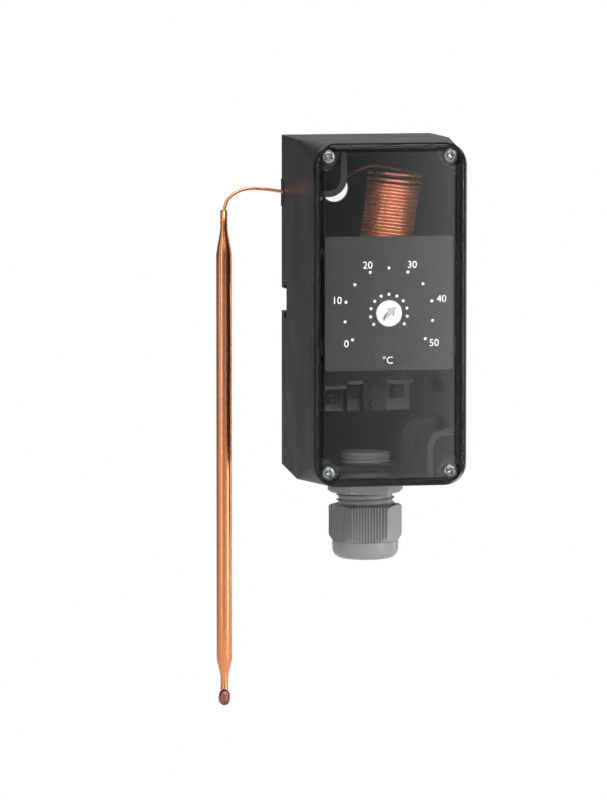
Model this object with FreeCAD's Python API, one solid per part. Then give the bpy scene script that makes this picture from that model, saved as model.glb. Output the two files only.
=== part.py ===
import FreeCAD, Part
import math
import os

V = FreeCAD.Vector

# A capillary thermostat for a wall: a black moulded base with a clear screwed lid,
# a setting dial under the lid, a liquid-filled sensor bulb on a coiled capillary,
# and a cable gland underneath.
# All lengths are in millimetres. X runs to the right seen from the front, Z runs up,
# and the wall is the plane Y = 0. The origin lies midway between the two wall screws.
# A depth is a distance in front of the wall, so a point at depth d has Y = -d.

# Housing base
housing_width = 58.8
housing_height = 130.0
housing_depth = 60.5
waist_flare = 0.4
waist_depth = 31.0
bottom_rise = 2.5
sharp_corner_radius = 0.4
rim_corner_radius = 8.5
side_wall = 3.0
end_wall = 3.0
rear_end_wall = 4.7
back_recess = 6.0
back_wall = 2.5

# Clear lid
lid_height = 4.1
lid_parting_gap = 0.4
lid_plate = 2.5
lid_edge_radius = 2.4
lid_rib_width = 0.9
lid_fit = 0.4
screw_pocket_diameter = 7.6
screw_pocket_depth = 4.0
boss_radius = 7.5
boss_drop = 2.5
post_gap = 0.2

# Lid screws
lid_screw_side_inset = 5.95
lid_screw_end_inset = 5.1
lid_screw_diameter = 3.5
lid_screw_length = 15.0
lid_screw_head_diameter = 5.0
lid_screw_head_height = 1.4
lid_screw_clearance = 0.2
tapped_hole_clearance = 0.1
cross_width = 0.7
cross_length = 2.8
cross_depth = 0.8

# Lid gasket
gasket_width = 1.1
gasket_height = 1.5
gasket_groove_depth = 1.2
gasket_side_gap = 0.05

# Wall fixing
wall_screw_side_inset = 6.9
wall_screw_end_inset = 14.0
wall_screw_hole = 4.4
wall_boss_diameter = 10.0
chamber_width = 13.8
chamber_height = 20.6
chamber_wall = 2.3
chamber_corner_radius = 7.0
chamber_front_gap = 1.0
wide_chamber_width = 18.7
wide_chamber_height = 22.4
wide_chamber_corner_radius = 6.0
wide_chamber_depth = 34.0

# Strap channel across the back
strap_channel_bottom = -2.7
strap_channel_top = 6.1
strap_channel_depth = 10.0
strap_lip_inner = 5.9
strap_lip_outer = 9.6
strap_lip_bottom = -5.4
strap_lip_top = 7.9
strap_wall = 2.0

# Setting dial
dial_z = 0.4
scale_plate_side_gap = 1.6
scale_plate_bottom = -21.25
scale_plate_top = 29.5
scale_plate_thickness = 1.5
scale_plate_drop = 0.5
scale_plate_corner = 1.2
setting_disc_diameter = 9.85
setting_disc_gap = 0.4
setting_disc_height = 3.2
setting_disc_proud = 0.4
arrow_angle = 47.0
arrow_length = 7.0
arrow_head_length = 3.2
arrow_head_width = 4.4
arrow_shaft_width = 1.6
arrow_recess = 0.5
peg_side_inset = 6.5
peg_end_inset = 3.5
peg_boss_diameter = 5.0
peg_boss_height = 5.0
peg_diameter = 2.4
peg_clearance = 0.1
peg_reach = 1.0

# Spindle and bush
spindle_diameter = 5.0
spindle_nose_diameter = 4.0
spindle_nose_bore_depth = 1.8
spindle_thread_diameter = 6.0
spindle_collar_diameter = 8.6
spindle_collar_height = 1.4
spindle_lever_gap = 2.5
running_clearance = 0.05
fixed_clearance = 0.02
bush_flange_diameter = 10.5
bush_flange_height = 1.0
bush_barrel_diameter = 8.0
bush_barrel_reach = 1.0

# Folded mechanism frame
sheet_thickness = 1.5
frame_half_width = 18.0
frame_bottom = -19.0
frame_top = 21.5
frame_bend_radius = 2.0
flange_bottom = -12.0
flange_top = 20.5
bridge_overhang = 2.5
bridge_bottom = -13.5
bridge_top = 17.5
bridge_corner = 2.0
tongue_low_inset = 4.5
tongue_high_inset = 11.5
tongue_height = 4.0
tongue_clearance = 0.1
tongue_reach = 0.7
guide_slot_height = 3.4
guide_slot_length = 10.0
frame_post_side_inset = 6.5
frame_post_low_inset = 3.5
frame_post_high_inset = 4.5
frame_post_diameter = 7.0
frame_screw_diameter = 3.0
frame_screw_head_diameter = 5.6
frame_screw_head_height = 2.0
frame_screw_reach = 4.5

# Diaphragm capsule and button
capsule_diameter = 24.0
capsule_height = 4.6
capsule_rim_height = 1.4
capsule_crown_diameter = 15.0
capsule_stud_diameter = 5.0
capsule_nut_width = 8.0
capsule_nut_height = 1.7
capsule_nut_gap = 0.3
capsule_socket_diameter = 2.4
capsule_socket_length = 3.0
button_foot_diameter = 9.0
button_foot_height = 1.2
button_stem_diameter = 5.0
button_height = 6.2
button_gap = 0.1

# Lever
lever_thickness = 2.0
lever_half_width = 6.0
lever_tip_overhang = 1.5
lever_tip_half_width = 3.5
lever_taper_z = -9.0
lever_pivot_inset = 5.5
lever_hub_diameter = 6.0
lever_hub_half_width = 8.0
lever_pin_diameter = 3.0
lever_pin_head_diameter = 5.0
lever_pin_head_height = 1.0
lever_pin_overhang = 1.2
lever_swing_room = 1.5

# Range spring and its carriage
spring_wire_diameter = 1.5
spring_outer_diameter = 14.0
spring_pitch = 2.6
spring_end_gap = 0.1
carriage_bridge_gap = 6.0
carriage_thickness = 4.0
carriage_hub_diameter = 15.5
carriage_bar_height = 8.0
carriage_side_gap = 0.3
carriage_tongue_depth = 3.0
carriage_tongue_height = 2.8
carriage_tongue_overhang = 0.8
spigot_diameter = 9.4
spigot_height = 2.0

# Snap switch and its terminals, each terminal measured from the switch's left side and top
switch_side_gap = 4.4
switch_length = 35.0
switch_frame_gap = 2.0
switch_height = 17.4
switch_block_depth = 12.6
switch_cover_thickness = 1.4
switch_corner = 1.0
switch_post_diameter = 5.6
switch_screw_place = 19.95
switch_screw_top_inset = 8.6
switch_screw_bottom_inset = 2.8
switch_screw_diameter = 2.5
switch_screw_head_diameter = 4.4
switch_screw_head_height = 1.6
switch_screw_reach = 6.0
switch_screw_hole_end = 1.0
plunger_top_inset = 3.5
plunger_diameter = 3.0
plunger_clearance = 0.15
plunger_body_length = 5.0
plunger_chamber_depth = 8.0
plunger_gap = 0.1
terminal_places = (0.3, 9.6, 24.6)
terminal_widths = (8.7, 5.7, 10.2)
terminal_ledge_drops = (7.2, 5.3, 5.3)
terminal_ledge_thickness = 1.5
terminal_plate_thickness = 1.2
terminal_bay_depth = 7.0
terminal_bay_margin = 0.2
terminal_screw_drop = 5.0
terminal_screw_diameter = 2.6
terminal_screw_tip_gap = 2.0
terminal_screw_head_diameter = 4.8
terminal_screw_head_height = 1.8
terminal_screw_slot = 0.7
terminal_washer_size = 5.2
terminal_washer_thickness = 0.8

# Capillary tube, whose corners are (X, depth, height above the grommet's middle)
capillary_diameter = 1.24
rod_sides = 6
coil_outer_diameter = 20.4
coil_pitch = 1.3
coil_close_turns = 17
coil_loose_half_turns = 5
coil_loose_growth = 0.3
coil_lean = 8.3
coil_centre_depth = 33.0
coil_centre_x = 4.4
coil_bottom_z = 25.0
lead_bend_radius = 5.0
exit_run = 8.0
tube_route = (
    (-7.5, 16.0, 7.25),
    (-12.0, 3.2, -2.95),
    (-36.0, 3.4, 1.65),
    (-45.2, 4.4, 2.15),
    (-51.4, 5.0, -1.35),
    (-53.0, 5.0, -5.55),
)
bend_share = 0.45
passage_hole_x = -10.1
passage_hole_rise = 1.85
passage_hole_diameter = 10.6

# Grommet in the left skirt
grommet_drop = 8.25
notch_diameter = 10.8
grommet_gap = 0.05
grommet_proud = 0.3
grommet_flange_diameter = 13.2
grommet_flange_width = 1.5
grommet_bore_clearance = 0.06

# Sensor bulb
bulb_drop = 6.25
bulb_x = -53.0
bulb_depth = 5.0
bulb_diameter = 6.0
bulb_neck_diameter = 2.75
bulb_neck_length = 6.6
bulb_shoulder_share = 0.2
bulb_taper_length = 11.1
bulb_body_length = 155.3
bulb_foot_taper_length = 7.7
bulb_tail_diameter = 3.0
bulb_tail_length = 4.7
bulb_weld_diameter = 4.3
bulb_weld_length = 6.3
bulb_bore_depth = 4.0
bulb_bore_clearance = 0.03

# Cable gland
gland_depth = 17.0
gland_pad_diameter = 27.6
gland_thread_diameter = 20.0
gland_thread_chamfer = 1.0
gland_inner_reach = 4.0
gland_relief_gap = 0.3
gland_relief_wall = 2.0
gland_bore = 14.0
gland_washer_thickness = 1.2
gland_washer_diameter = 24.2
gland_hex_width = 25.0
gland_hex_height = 5.7
gland_hex_chamfer = 0.9
gland_turn = 7.0
gland_neck_diameter = 22.0
gland_neck_pitch = 1.5
gland_neck_ridge = 0.35
gland_neck_length = 13.0
gland_finger_length = 5.0
gland_finger_count = 8
gland_finger_slot = 1.6
gland_finger_diameter = 19.2
gland_finger_bore = 17.0
nut_top_gap = 4.9
nut_grip_height = 13.7
nut_dome_height = 6.9
nut_dome_diameter = 25.4
nut_dome_round = 3.8
nut_mouth_diameter = 14.6
nut_wall_clearance = 0.3
nut_rib_pitch = 1.14
nut_rib_depth = 0.35
nut_rib_count = 9
nut_edge_chamfer = 1.8
nut_thread_depth = 11.0
nut_thread_end_chamfer = 1.0
insert_side_gap = 0.2
insert_bore = 13.0
insert_flange_height = 1.6
insert_travel_room = 2.5
insert_top_gap = 1.7

# How far a cutting body runs past the face that it cuts
past = 1.0

# Half a turn in degrees
half_circle = math.degrees(math.pi)

# Housing, lid and wall fixing, worked out
half_width = housing_width / 2
half_height = housing_height / 2
half_waist = half_width + waist_flare
cavity_x = half_width - side_wall
cavity_z = half_height - end_wall
cavity_corner_radius = rim_corner_radius - side_wall
floor_depth = back_recess + back_wall
feature_root = floor_depth - back_wall / 2
boss_front = housing_depth - boss_drop
lid_back = housing_depth + lid_parting_gap
lid_front = lid_back + lid_height
lid_inner = lid_front - lid_plate
lid_reach_depth = boss_front + post_gap
screw_seat = lid_front - screw_pocket_depth
lid_screw_x = half_width - lid_screw_side_inset
lid_screw_z = half_height - lid_screw_end_inset
wall_screw_x = half_width - wall_screw_side_inset
wall_screw_z = half_height - wall_screw_end_inset
chamber_front = boss_front - chamber_front_gap
bulge_front = strap_channel_depth + strap_wall
bulge_z = (strap_lip_bottom - strap_wall, strap_lip_top + strap_wall)

# Mechanism from back to front, worked out
frame_back_depth = bulge_front + capsule_nut_gap + capsule_nut_height
frame_front = frame_back_depth + sheet_thickness
capsule_front = frame_front + capsule_height
lead_depth = frame_front + capsule_height / 2
lever_back = capsule_front + button_height + 2 * button_gap
lever_front = lever_back + lever_thickness
lever_pivot_depth = (lever_back + lever_front) / 2
lever_pivot_z = frame_top - lever_pivot_inset
spindle_back = lever_front + spindle_lever_gap
scale_plate_front = housing_depth - scale_plate_drop
plate_back = scale_plate_front - scale_plate_thickness
bridge_front = plate_back - peg_boss_height
bridge_depth = bridge_front - sheet_thickness
bridge_half_width = frame_half_width + bridge_overhang
carriage_front = bridge_depth - carriage_bridge_gap
carriage_back = carriage_front - carriage_thickness
spring_turns = int((carriage_back - lever_front) / spring_pitch)
setting_disc_front = scale_plate_front + setting_disc_proud
setting_disc_back = setting_disc_front - setting_disc_height
spindle_nose_end = setting_disc_back + spindle_nose_bore_depth
frame_post_x = frame_half_width - frame_post_side_inset
frame_post_z = (frame_bottom + frame_post_low_inset, frame_top - frame_post_high_inset)
tongue_z = (flange_bottom + tongue_low_inset, flange_top - tongue_high_inset)

# Switch, worked out
switch_left = switch_side_gap - cavity_x
switch_right = switch_left + switch_length
switch_top = frame_bottom - switch_frame_gap
switch_bottom = switch_top - switch_height
cover_back = lever_front + lever_swing_room
switch_back = cover_back + switch_cover_thickness
switch_front = switch_back + switch_block_depth
switch_floor = switch_front - terminal_bay_depth
switch_screw_x = switch_left + switch_screw_place
switch_screw_z = (switch_bottom + switch_screw_bottom_inset, switch_top - switch_screw_top_inset)
plunger_z = switch_top - plunger_top_inset
lever_tip_z = plunger_z - lever_tip_overhang

# Capillary, grommet and bulb, worked out
coil_radius = (coil_outer_diameter - capillary_diameter) / 2
grommet_z = wall_screw_z - grommet_drop
bulb_top_z = grommet_z - bulb_drop

# Cable gland from top to bottom, worked out
pad_z = -half_height
pad_top = pad_z + rear_end_wall
gland_inner_top = pad_top + gland_inner_reach
washer_bottom = pad_z - gland_washer_thickness
hex_bottom = washer_bottom - gland_hex_height
nut_top = hex_bottom - nut_top_gap
nut_grip_bottom = nut_top - nut_grip_height
nut_bottom = nut_grip_bottom - nut_dome_height
neck_bottom = hex_bottom - gland_neck_length
finger_bottom = neck_bottom - gland_finger_length
insert_flange_top = finger_bottom - insert_travel_room
insert_bottom = insert_flange_top - insert_flange_height
insert_seat = insert_bottom - running_clearance


def block(x, z, depth):
    """A box between two X values, two Z values and two depths."""
    corner = V(x[0], -depth[1], z[0])
    return Part.makeBox(x[1] - x[0], depth[1] - depth[0], z[1] - z[0], corner)


def rod_out(x, z, diameter, depth):
    """A cylinder that points out of the wall, between two depths."""
    return Part.makeCylinder(diameter / 2, depth[1] - depth[0], V(x, -depth[1], z), V(0, 1, 0))


def rod_up(x, depth, diameter, z):
    """An upright cylinder between two Z values."""
    return Part.makeCylinder(diameter / 2, z[1] - z[0], V(x, -depth, z[0]), V(0, 0, 1))


def rod_across(depth, z, diameter, x):
    """A cylinder along X between two X values."""
    return Part.makeCylinder(diameter / 2, x[1] - x[0], V(x[0], -depth, z), V(1, 0, 0))


def turned_out(x, z, profile):
    """A turned piece on an axis out of the wall, from (radius, depth) pairs."""
    points = [V(x + radius, -depth, z) for radius, depth in profile]
    face = Part.Face(Part.makePolygon(points + [points[0]]))
    return face.revolve(V(x, 0, z), V(0, 1, 0), 2 * half_circle)


def turned_up(x, depth, profile):
    """A turned piece on an upright axis, from (radius, Z) pairs."""
    points = [V(x + radius, -depth, z) for radius, z in profile]
    face = Part.Face(Part.makePolygon(points + [points[0]]))
    return face.revolve(V(x, -depth, 0), V(0, 0, 1), 2 * half_circle)


def rounded_outline(x, z, radius, depth):
    """A rectangle with round corners, in a plane parallel to the wall."""
    arcs = []
    for quarter in range(4):
        side_x = 1 if quarter in (0, 3) else -1
        side_z = 1 if quarter in (0, 1) else -1
        corner_x = max(x) if side_x > 0 else min(x)
        corner_z = max(z) if side_z > 0 else min(z)
        centre = V(corner_x - side_x * radius, -depth, corner_z - side_z * radius)
        points = []
        for half_step in range(3):
            angle = (quarter + half_step / 2) * math.pi / 2
            points.append(centre + V(math.cos(angle), 0, math.sin(angle)) * radius)
        arcs.append(points)
    edges = []
    for points, following in zip(arcs, arcs[1:] + arcs[:1]):
        edges.append(Part.Arc(*points).toShape())
        edges.append(Part.makeLine(points[-1], following[0]))
    return Part.Wire(edges)


def rounded_block(x, z, radius, depth):
    """A plate or prism with round corners, between two depths."""
    face = Part.Face(rounded_outline(x, z, radius, depth[0]))
    return face.extrude(V(0, depth[0] - depth[1], 0))


def polygon_prism(points, direction):
    """A prism on a closed flat outline."""
    return Part.Face(Part.makePolygon(points + [points[0]])).extrude(direction)


def joined(shapes):
    """All the shapes as one solid."""
    return shapes[0].fuse(shapes[1:]).removeSplitter()


def edges_in_plane(shape, axis, place):
    """The edges of a shape that lie flat in a plane square to one axis."""
    found = []
    for edge in shape.Edges:
        low = getattr(edge.BoundBox, axis + "Min")
        high = getattr(edge.BoundBox, axis + "Max")
        if max(abs(low - place), abs(high - place)) < fixed_clearance:
            found.append(edge)
    return found


def screw_out(x, z, seat, diameter, reach, head_diameter, head_height):
    """A pan head screw whose head sits on a face at the depth called seat."""
    shank = rod_out(x, z, diameter, (seat - reach, seat))
    head = rod_out(x, z, head_diameter, (seat, seat + head_height))
    return shank.fuse(head).removeSplitter()


class SweptRod:
    """A rod with flat sides, laid along straight runs and arcs from a first heading across X."""

    def __init__(self, start, heading, diameter, sides):
        self.at = V(start)
        self.heading = V(heading).normalize()
        across = self.heading.cross(V(1, 0, 0)).normalize()
        upright = self.heading.cross(across)
        self.ring = []
        for side in range(sides):
            angle = 2 * math.pi * side / sides
            offset = across * math.cos(angle) + upright * math.sin(angle)
            self.ring.append(self.at + offset * (diameter / 2))
        self.faces = [self.cap()]

    def cap(self):
        return Part.Face(Part.makePolygon(self.ring + [self.ring[0]]))

    def ring_edges(self):
        return zip(self.ring, self.ring[1:] + self.ring[:1])

    def forward(self, length):
        shift = self.heading * length
        for a, b in self.ring_edges():
            self.faces.append(Part.Face(Part.makePolygon([a, b, b + shift, a + shift, a])))
        self.ring = [point + shift for point in self.ring]
        self.at = self.at + shift

    def turn(self, axis, radius, degrees):
        centre = self.at + axis.cross(self.heading) * radius
        for a, b in self.ring_edges():
            self.faces.append(Part.makeLine(a, b).revolve(centre, axis, degrees))
        turning = FreeCAD.Rotation(axis, degrees)
        self.ring = [centre + turning.multVec(point - centre) for point in self.ring]
        self.at = centre + turning.multVec(self.at - centre)
        self.heading = turning.multVec(self.heading)

    def wind(self, axis, radius, rise, degrees):
        """A stretch of a helix, as an arc in a plane tilted by the rise of a whole turn."""
        outward = self.heading.cross(axis)
        inward = axis * (rise / 4) - outward * radius
        arc_radius = inward.Length
        self.turn(self.heading.cross(inward).normalize(), arc_radius, degrees)

    def route(self, points):
        """Straight runs through the points, joined by tangent arcs."""
        for corner, after in zip(points[:-1], points[1:]):
            run_in = corner - self.at
            run_out = after - corner
            leaving = V(run_out).normalize()
            axis = self.heading.cross(leaving)
            angle = math.atan2(axis.Length, self.heading.dot(leaving))
            radius = bend_share * min(run_in.Length, run_out.Length) / math.tan(angle / 2)
            self.forward(run_in.Length - radius * math.tan(angle / 2))
            self.turn(axis.normalize(), radius, math.degrees(angle))
        self.forward((points[-1] - self.at).Length)

    def solid(self):
        shell = Part.makeShell(self.faces + [self.cap()])
        shell.sewShape()
        body = Part.makeSolid(shell)
        if body.Volume < 0:
            body.reverse()
        return body


def housing_shell():
    """The outer form: sharp corners behind the waist that turn round towards the rim."""
    back_x = (-half_width, half_width)
    waist_x = (-half_waist, half_waist)
    full_z = (-half_height, half_height)
    back_z = (bottom_rise - half_height, half_height)
    back = rounded_outline(back_x, back_z, sharp_corner_radius, 0)
    waist = rounded_outline(waist_x, full_z, sharp_corner_radius, waist_depth)
    rim = rounded_outline(back_x, full_z, rim_corner_radius, housing_depth)
    rear = Part.makeLoft([back, waist], True, True)
    front = Part.makeLoft([waist, rim], True, True)
    return rear.fuse(front)


def housing_hollow():
    """The room inside: shallower at the bottom behind the waist, where the gland screws in."""
    x = (-cavity_x, cavity_x)
    front = rounded_block(x, (-cavity_z, cavity_z), cavity_corner_radius, (waist_depth, housing_depth))
    rear_z = (rear_end_wall - half_height, cavity_z)
    rear = rounded_block(x, rear_z, cavity_corner_radius, (floor_depth, waist_depth))
    return front.fuse(rear)


def chamber_room(edge_x, edge_z, corner, depth):
    """The room of a wall screw at the top left, as far as two edges, with a round inner corner."""
    x = (-half_width - corner, -edge_x)
    z = (edge_z, half_height + corner)
    return rounded_block(x, z, corner, depth)


def chamber_step(width, height, corner, front, front_wall):
    """One step of a screw chamber at the top left: its outer form and the room inside."""
    edge_x = half_width - width
    edge_z = half_height - height
    outer = chamber_room(edge_x, edge_z, corner, (feature_root, front))
    inner_corner = corner - chamber_wall
    inner_depth = (feature_root, front - front_wall)
    room = chamber_room(edge_x + chamber_wall, edge_z + chamber_wall, inner_corner, inner_depth)
    return outer, room


def screw_chamber(wide):
    """The wall round one wall screw, at the top left; a wide one steps out near the back."""
    wall, room = chamber_step(chamber_width, chamber_height, chamber_corner_radius, chamber_front, 0)
    if wide:
        size = (wide_chamber_width, wide_chamber_height, wide_chamber_corner_radius)
        wide_wall, wide_room = chamber_step(*size, wide_chamber_depth, chamber_wall)
        wall = wall.fuse(wide_wall)
        room = room.fuse(wide_room)
    return wall.cut(room)


def half_turned(shape):
    """A copy turned half round the axis out of the wall, from top left to bottom right."""
    copy = shape.copy()
    copy.rotate(V(0, 0, 0), V(0, 1, 0), half_circle)
    return copy


def lid_boss(side_x, side_z):
    """A quarter round column in one corner, for a lid screw."""
    return rod_out(side_x * cavity_x, side_z * cavity_z, 2 * boss_radius, (feature_root, boss_front))


def inside_features():
    """Everything that stands on the back wall inside the housing."""
    features = [screw_chamber(False), half_turned(screw_chamber(True))]
    for side_x in (-1, 1):
        for side_z in (-1, 1):
            features.append(lid_boss(side_x, side_z))
    features.append(block((-cavity_x, cavity_x), bulge_z, (feature_root, bulge_front)))
    for side_x in (-1, 1):
        for z in frame_post_z:
            depth = (feature_root, frame_back_depth)
            features.append(rod_out(side_x * frame_post_x, z, frame_post_diameter, depth))
    for z in switch_screw_z:
        features.append(rod_out(switch_screw_x, z, switch_post_diameter, (feature_root, cover_back)))
    return features


def strap_channel():
    """The slot for a strap across the back, wider behind its two lips."""
    x = (-housing_width, housing_width)
    slot = block(x, (strap_channel_bottom, strap_channel_top), (-past, strap_channel_depth))
    lips = block(x, (strap_lip_bottom, strap_lip_top), (strap_lip_inner, strap_lip_outer))
    return slot.fuse(lips)


def screw_holes():
    """The holes for wall screws, lid screws, frame screws and switch screws."""
    holes = []
    for side in (-1, 1):
        depth = (-past, floor_depth + past)
        holes.append(rod_out(side * wall_screw_x, -side * wall_screw_z, wall_screw_hole, depth))
        for z in frame_post_z:
            bore = frame_screw_diameter + 2 * fixed_clearance
            depth = (frame_back_depth - frame_screw_reach, frame_back_depth + past)
            holes.append(rod_out(side * frame_post_x, z, bore, depth))
        for side_z in (-1, 1):
            bore = lid_screw_diameter + 2 * tapped_hole_clearance
            depth = (screw_seat - lid_screw_length - past, housing_depth)
            holes.append(rod_out(side * lid_screw_x, side_z * lid_screw_z, bore, depth))
    for z in switch_screw_z:
        bore = switch_screw_diameter + 2 * fixed_clearance
        holes.append(rod_out(switch_screw_x, z, bore, (cover_back - switch_screw_reach, cover_back + past)))
    return holes


def gasket_ring(width, depth):
    """A ring along the middle of the rim, between two depths."""
    middle = side_wall / 2
    rings = []
    for offset in (middle - width / 2, middle + width / 2):
        x = (offset - half_width, half_width - offset)
        z = (offset - half_height, half_height - offset)
        rings.append(rounded_block(x, z, rim_corner_radius - offset, depth))
    return rings[0].cut(rings[1])


def gland_relief(wall):
    """The room that the gland's inner end needs in the back wall, or that room with a wall round it."""
    diameter = gland_thread_diameter + 2 * (gland_relief_gap + wall)
    return rod_up(0, gland_depth, diameter, (pad_top - wall, gland_inner_top + gland_relief_gap + wall))


def housing_base():
    body = housing_shell()
    pad = rod_up(0, gland_depth, gland_pad_diameter, (pad_z, pad_top))
    body = body.fuse(pad).cut(housing_hollow())
    features = inside_features()
    body = body.fuse(features[0].fuse(features[1:]).common(housing_shell()))
    skirt_x = (-cavity_x, cavity_x)
    skirt_z = (bottom_rise + end_wall - half_height, cavity_z)
    rear_hollow = rounded_block(skirt_x, skirt_z, sharp_corner_radius, (-past, back_recess))
    kept = [block(skirt_x, bulge_z, (0, back_recess))]
    kept.append(gland_relief(gland_relief_wall))
    for side in (-1, 1):
        kept.append(rod_out(side * wall_screw_x, -side * wall_screw_z, wall_boss_diameter, (0, back_recess)))
    body = body.cut(rear_hollow.cut(kept))
    cuts = screw_holes()
    cuts.append(strap_channel())
    passage_z = grommet_z + passage_hole_rise
    cuts.append(rod_out(passage_hole_x, passage_z, passage_hole_diameter, (0, floor_depth + past)))
    cuts.append(rod_across(0, grommet_z, notch_diameter, (-housing_width, -cavity_x + side_wall / 2)))
    hole = gland_thread_diameter + 2 * tapped_hole_clearance
    cuts.append(rod_up(0, gland_depth, hole, (pad_z - past, pad_top + past)))
    cuts.append(gland_relief(0))
    groove = gasket_width + 2 * gasket_side_gap
    cuts.append(gasket_ring(groove, (housing_depth - gasket_groove_depth, housing_depth + past)))
    return body.cut(cuts).removeSplitter()


def clear_lid():
    """A shallow tray with a locating rib and a post for each screw."""
    outer_x = (-half_width, half_width)
    outer_z = (-half_height, half_height)
    tray = rounded_block(outer_x, outer_z, rim_corner_radius, (lid_back, lid_front))
    front_edges = edges_in_plane(tray, "Y", -lid_front)
    tray = tray.makeFillet(lid_edge_radius, front_edges)
    rib_x = cavity_x - lid_fit
    rib_z = cavity_z - lid_fit
    rib_corner = cavity_corner_radius - lid_fit
    rib = rounded_block((-rib_x, rib_x), (-rib_z, rib_z), rib_corner, (lid_reach_depth, lid_back))
    room_x = rib_x - lid_rib_width
    room_z = rib_z - lid_rib_width
    room_corner = rib_corner - lid_rib_width
    room = rounded_block((-room_x, room_x), (-room_z, room_z), room_corner, (lid_reach_depth, lid_inner))
    posts = []
    cuts = []
    for side_x in (-1, 1):
        for side_z in (-1, 1):
            post_diameter = 2 * (boss_radius - lid_fit)
            posts.append(rod_out(side_x * rib_x, side_z * rib_z, post_diameter, (lid_reach_depth, lid_inner)))
            x = side_x * lid_screw_x
            z = side_z * lid_screw_z
            cuts.append(rod_out(x, z, screw_pocket_diameter, (screw_seat, lid_front + past)))
            bore = lid_screw_diameter + 2 * lid_screw_clearance
            cuts.append(rod_out(x, z, bore, (lid_reach_depth - past, screw_seat + past)))
    body = tray.fuse(rib).cut(room.cut(posts))
    return body.cut(cuts).removeSplitter()


def lid_gasket():
    base = housing_depth - gasket_groove_depth
    return gasket_ring(gasket_width, (base, base + gasket_height))


def cross_recess(x, z, top):
    """A cross slot for a screwdriver, sunk into a head whose top is at the given depth."""
    depth = (top - cross_depth, top + past)
    half_long = cross_length / 2
    half_thin = cross_width / 2
    upright = block((x - half_thin, x + half_thin), (z - half_long, z + half_long), depth)
    level = block((x - half_long, x + half_long), (z - half_thin, z + half_thin), depth)
    return upright.fuse(level)


def lid_screws():
    screws = []
    for side_x in (-1, 1):
        for side_z in (-1, 1):
            x = side_x * lid_screw_x
            z = side_z * lid_screw_z
            head = (lid_screw_head_diameter, lid_screw_head_height)
            screw = screw_out(x, z, screw_seat, lid_screw_diameter, lid_screw_length, *head)
            screws.append(screw.cut(cross_recess(x, z, screw_seat + lid_screw_head_height)))
    return Part.makeCompound(screws)


def peg_places():
    peg_x = bridge_half_width - peg_side_inset
    peg_z = (bridge_bottom + peg_end_inset, bridge_top - peg_end_inset)
    return [(side * peg_x, z) for side in (-1, 1) for z in peg_z]


def scale_plate():
    """The satin plate with the dial's hole, on four pegs that clip into the bridge."""
    x = (scale_plate_side_gap - cavity_x, cavity_x - scale_plate_side_gap)
    z = (scale_plate_bottom, scale_plate_top)
    plate = rounded_block(x, z, scale_plate_corner, (plate_back, scale_plate_front))
    pieces = [plate]
    for peg_at_x, peg_at_z in peg_places():
        pieces.append(rod_out(peg_at_x, peg_at_z, peg_boss_diameter, (bridge_front, plate_back)))
        pieces.append(rod_out(peg_at_x, peg_at_z, peg_diameter, (bridge_depth - peg_reach, bridge_front)))
    hole = setting_disc_diameter + 2 * setting_disc_gap
    body = joined(pieces)
    return body.cut(rod_out(0, dial_z, hole, (plate_back - past, scale_plate_front + past)))


def arrow_slot():
    """The arrow sunk into the disc, drawn pointing up and then turned to the setting."""
    tip = arrow_length / 2
    neck = tip - arrow_head_length
    half_head = arrow_head_width / 2
    half_shaft = arrow_shaft_width / 2
    right = [(0, tip), (half_head, neck), (half_shaft, neck), (half_shaft, -tip)]
    left = [(-x, z) for x, z in reversed(right[1:])]
    base = setting_disc_front - arrow_recess
    points = [V(x, -base, dial_z + z) for x, z in right + left]
    slot = polygon_prism(points, V(0, -arrow_recess - past, 0))
    slot.rotate(V(0, 0, dial_z), V(0, 1, 0), arrow_angle)
    return slot


def setting_disc():
    disc = rod_out(0, dial_z, setting_disc_diameter, (setting_disc_back, setting_disc_front))
    bore = spindle_nose_diameter + 2 * fixed_clearance
    socket = rod_out(0, dial_z, bore, (setting_disc_back - past, spindle_nose_end + fixed_clearance))
    return disc.cut([socket, arrow_slot()])


def setting_spindle():
    """A turned spindle: nose, plain journal, collar behind the bush, and the threaded end."""
    nose = spindle_nose_diameter / 2
    journal = spindle_diameter / 2
    collar = spindle_collar_diameter / 2
    thread = spindle_thread_diameter / 2
    collar_front = bridge_depth - bush_barrel_reach - running_clearance
    collar_back = collar_front - spindle_collar_height
    profile = [(0, spindle_back), (thread, spindle_back), (thread, collar_back), (collar, collar_back)]
    profile += [(collar, collar_front), (journal, collar_front), (journal, setting_disc_back)]
    profile += [(nose, setting_disc_back), (nose, spindle_nose_end), (0, spindle_nose_end)]
    return turned_out(0, dial_z, profile)


def spindle_bush():
    bore = spindle_diameter / 2 + running_clearance
    barrel = bush_barrel_diameter / 2
    flange = bush_flange_diameter / 2
    back = bridge_depth - bush_barrel_reach
    profile = [(bore, back), (barrel, back), (barrel, bridge_front), (flange, bridge_front)]
    profile += [(flange, bridge_front + bush_flange_height), (bore, bridge_front + bush_flange_height)]
    return turned_out(0, dial_z, profile)


def front_bridge():
    """The plate across the frame's front that holds the bush and the scale plate."""
    x = (-bridge_half_width, bridge_half_width)
    plate = rounded_block(x, (bridge_bottom, bridge_top), bridge_corner, (bridge_depth, bridge_front))
    through = (bridge_depth - past, bridge_front + past)
    cuts = [rod_out(0, dial_z, bush_barrel_diameter + 2 * fixed_clearance, through)]
    for peg_at_x, peg_at_z in peg_places():
        cuts.append(rod_out(peg_at_x, peg_at_z, peg_diameter + 2 * peg_clearance, through))
    for side in (-1, 1):
        for z in tongue_z:
            cuts.append(frame_tongue(side, z, tongue_clearance, through))
    return plate.cut(cuts)


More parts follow.
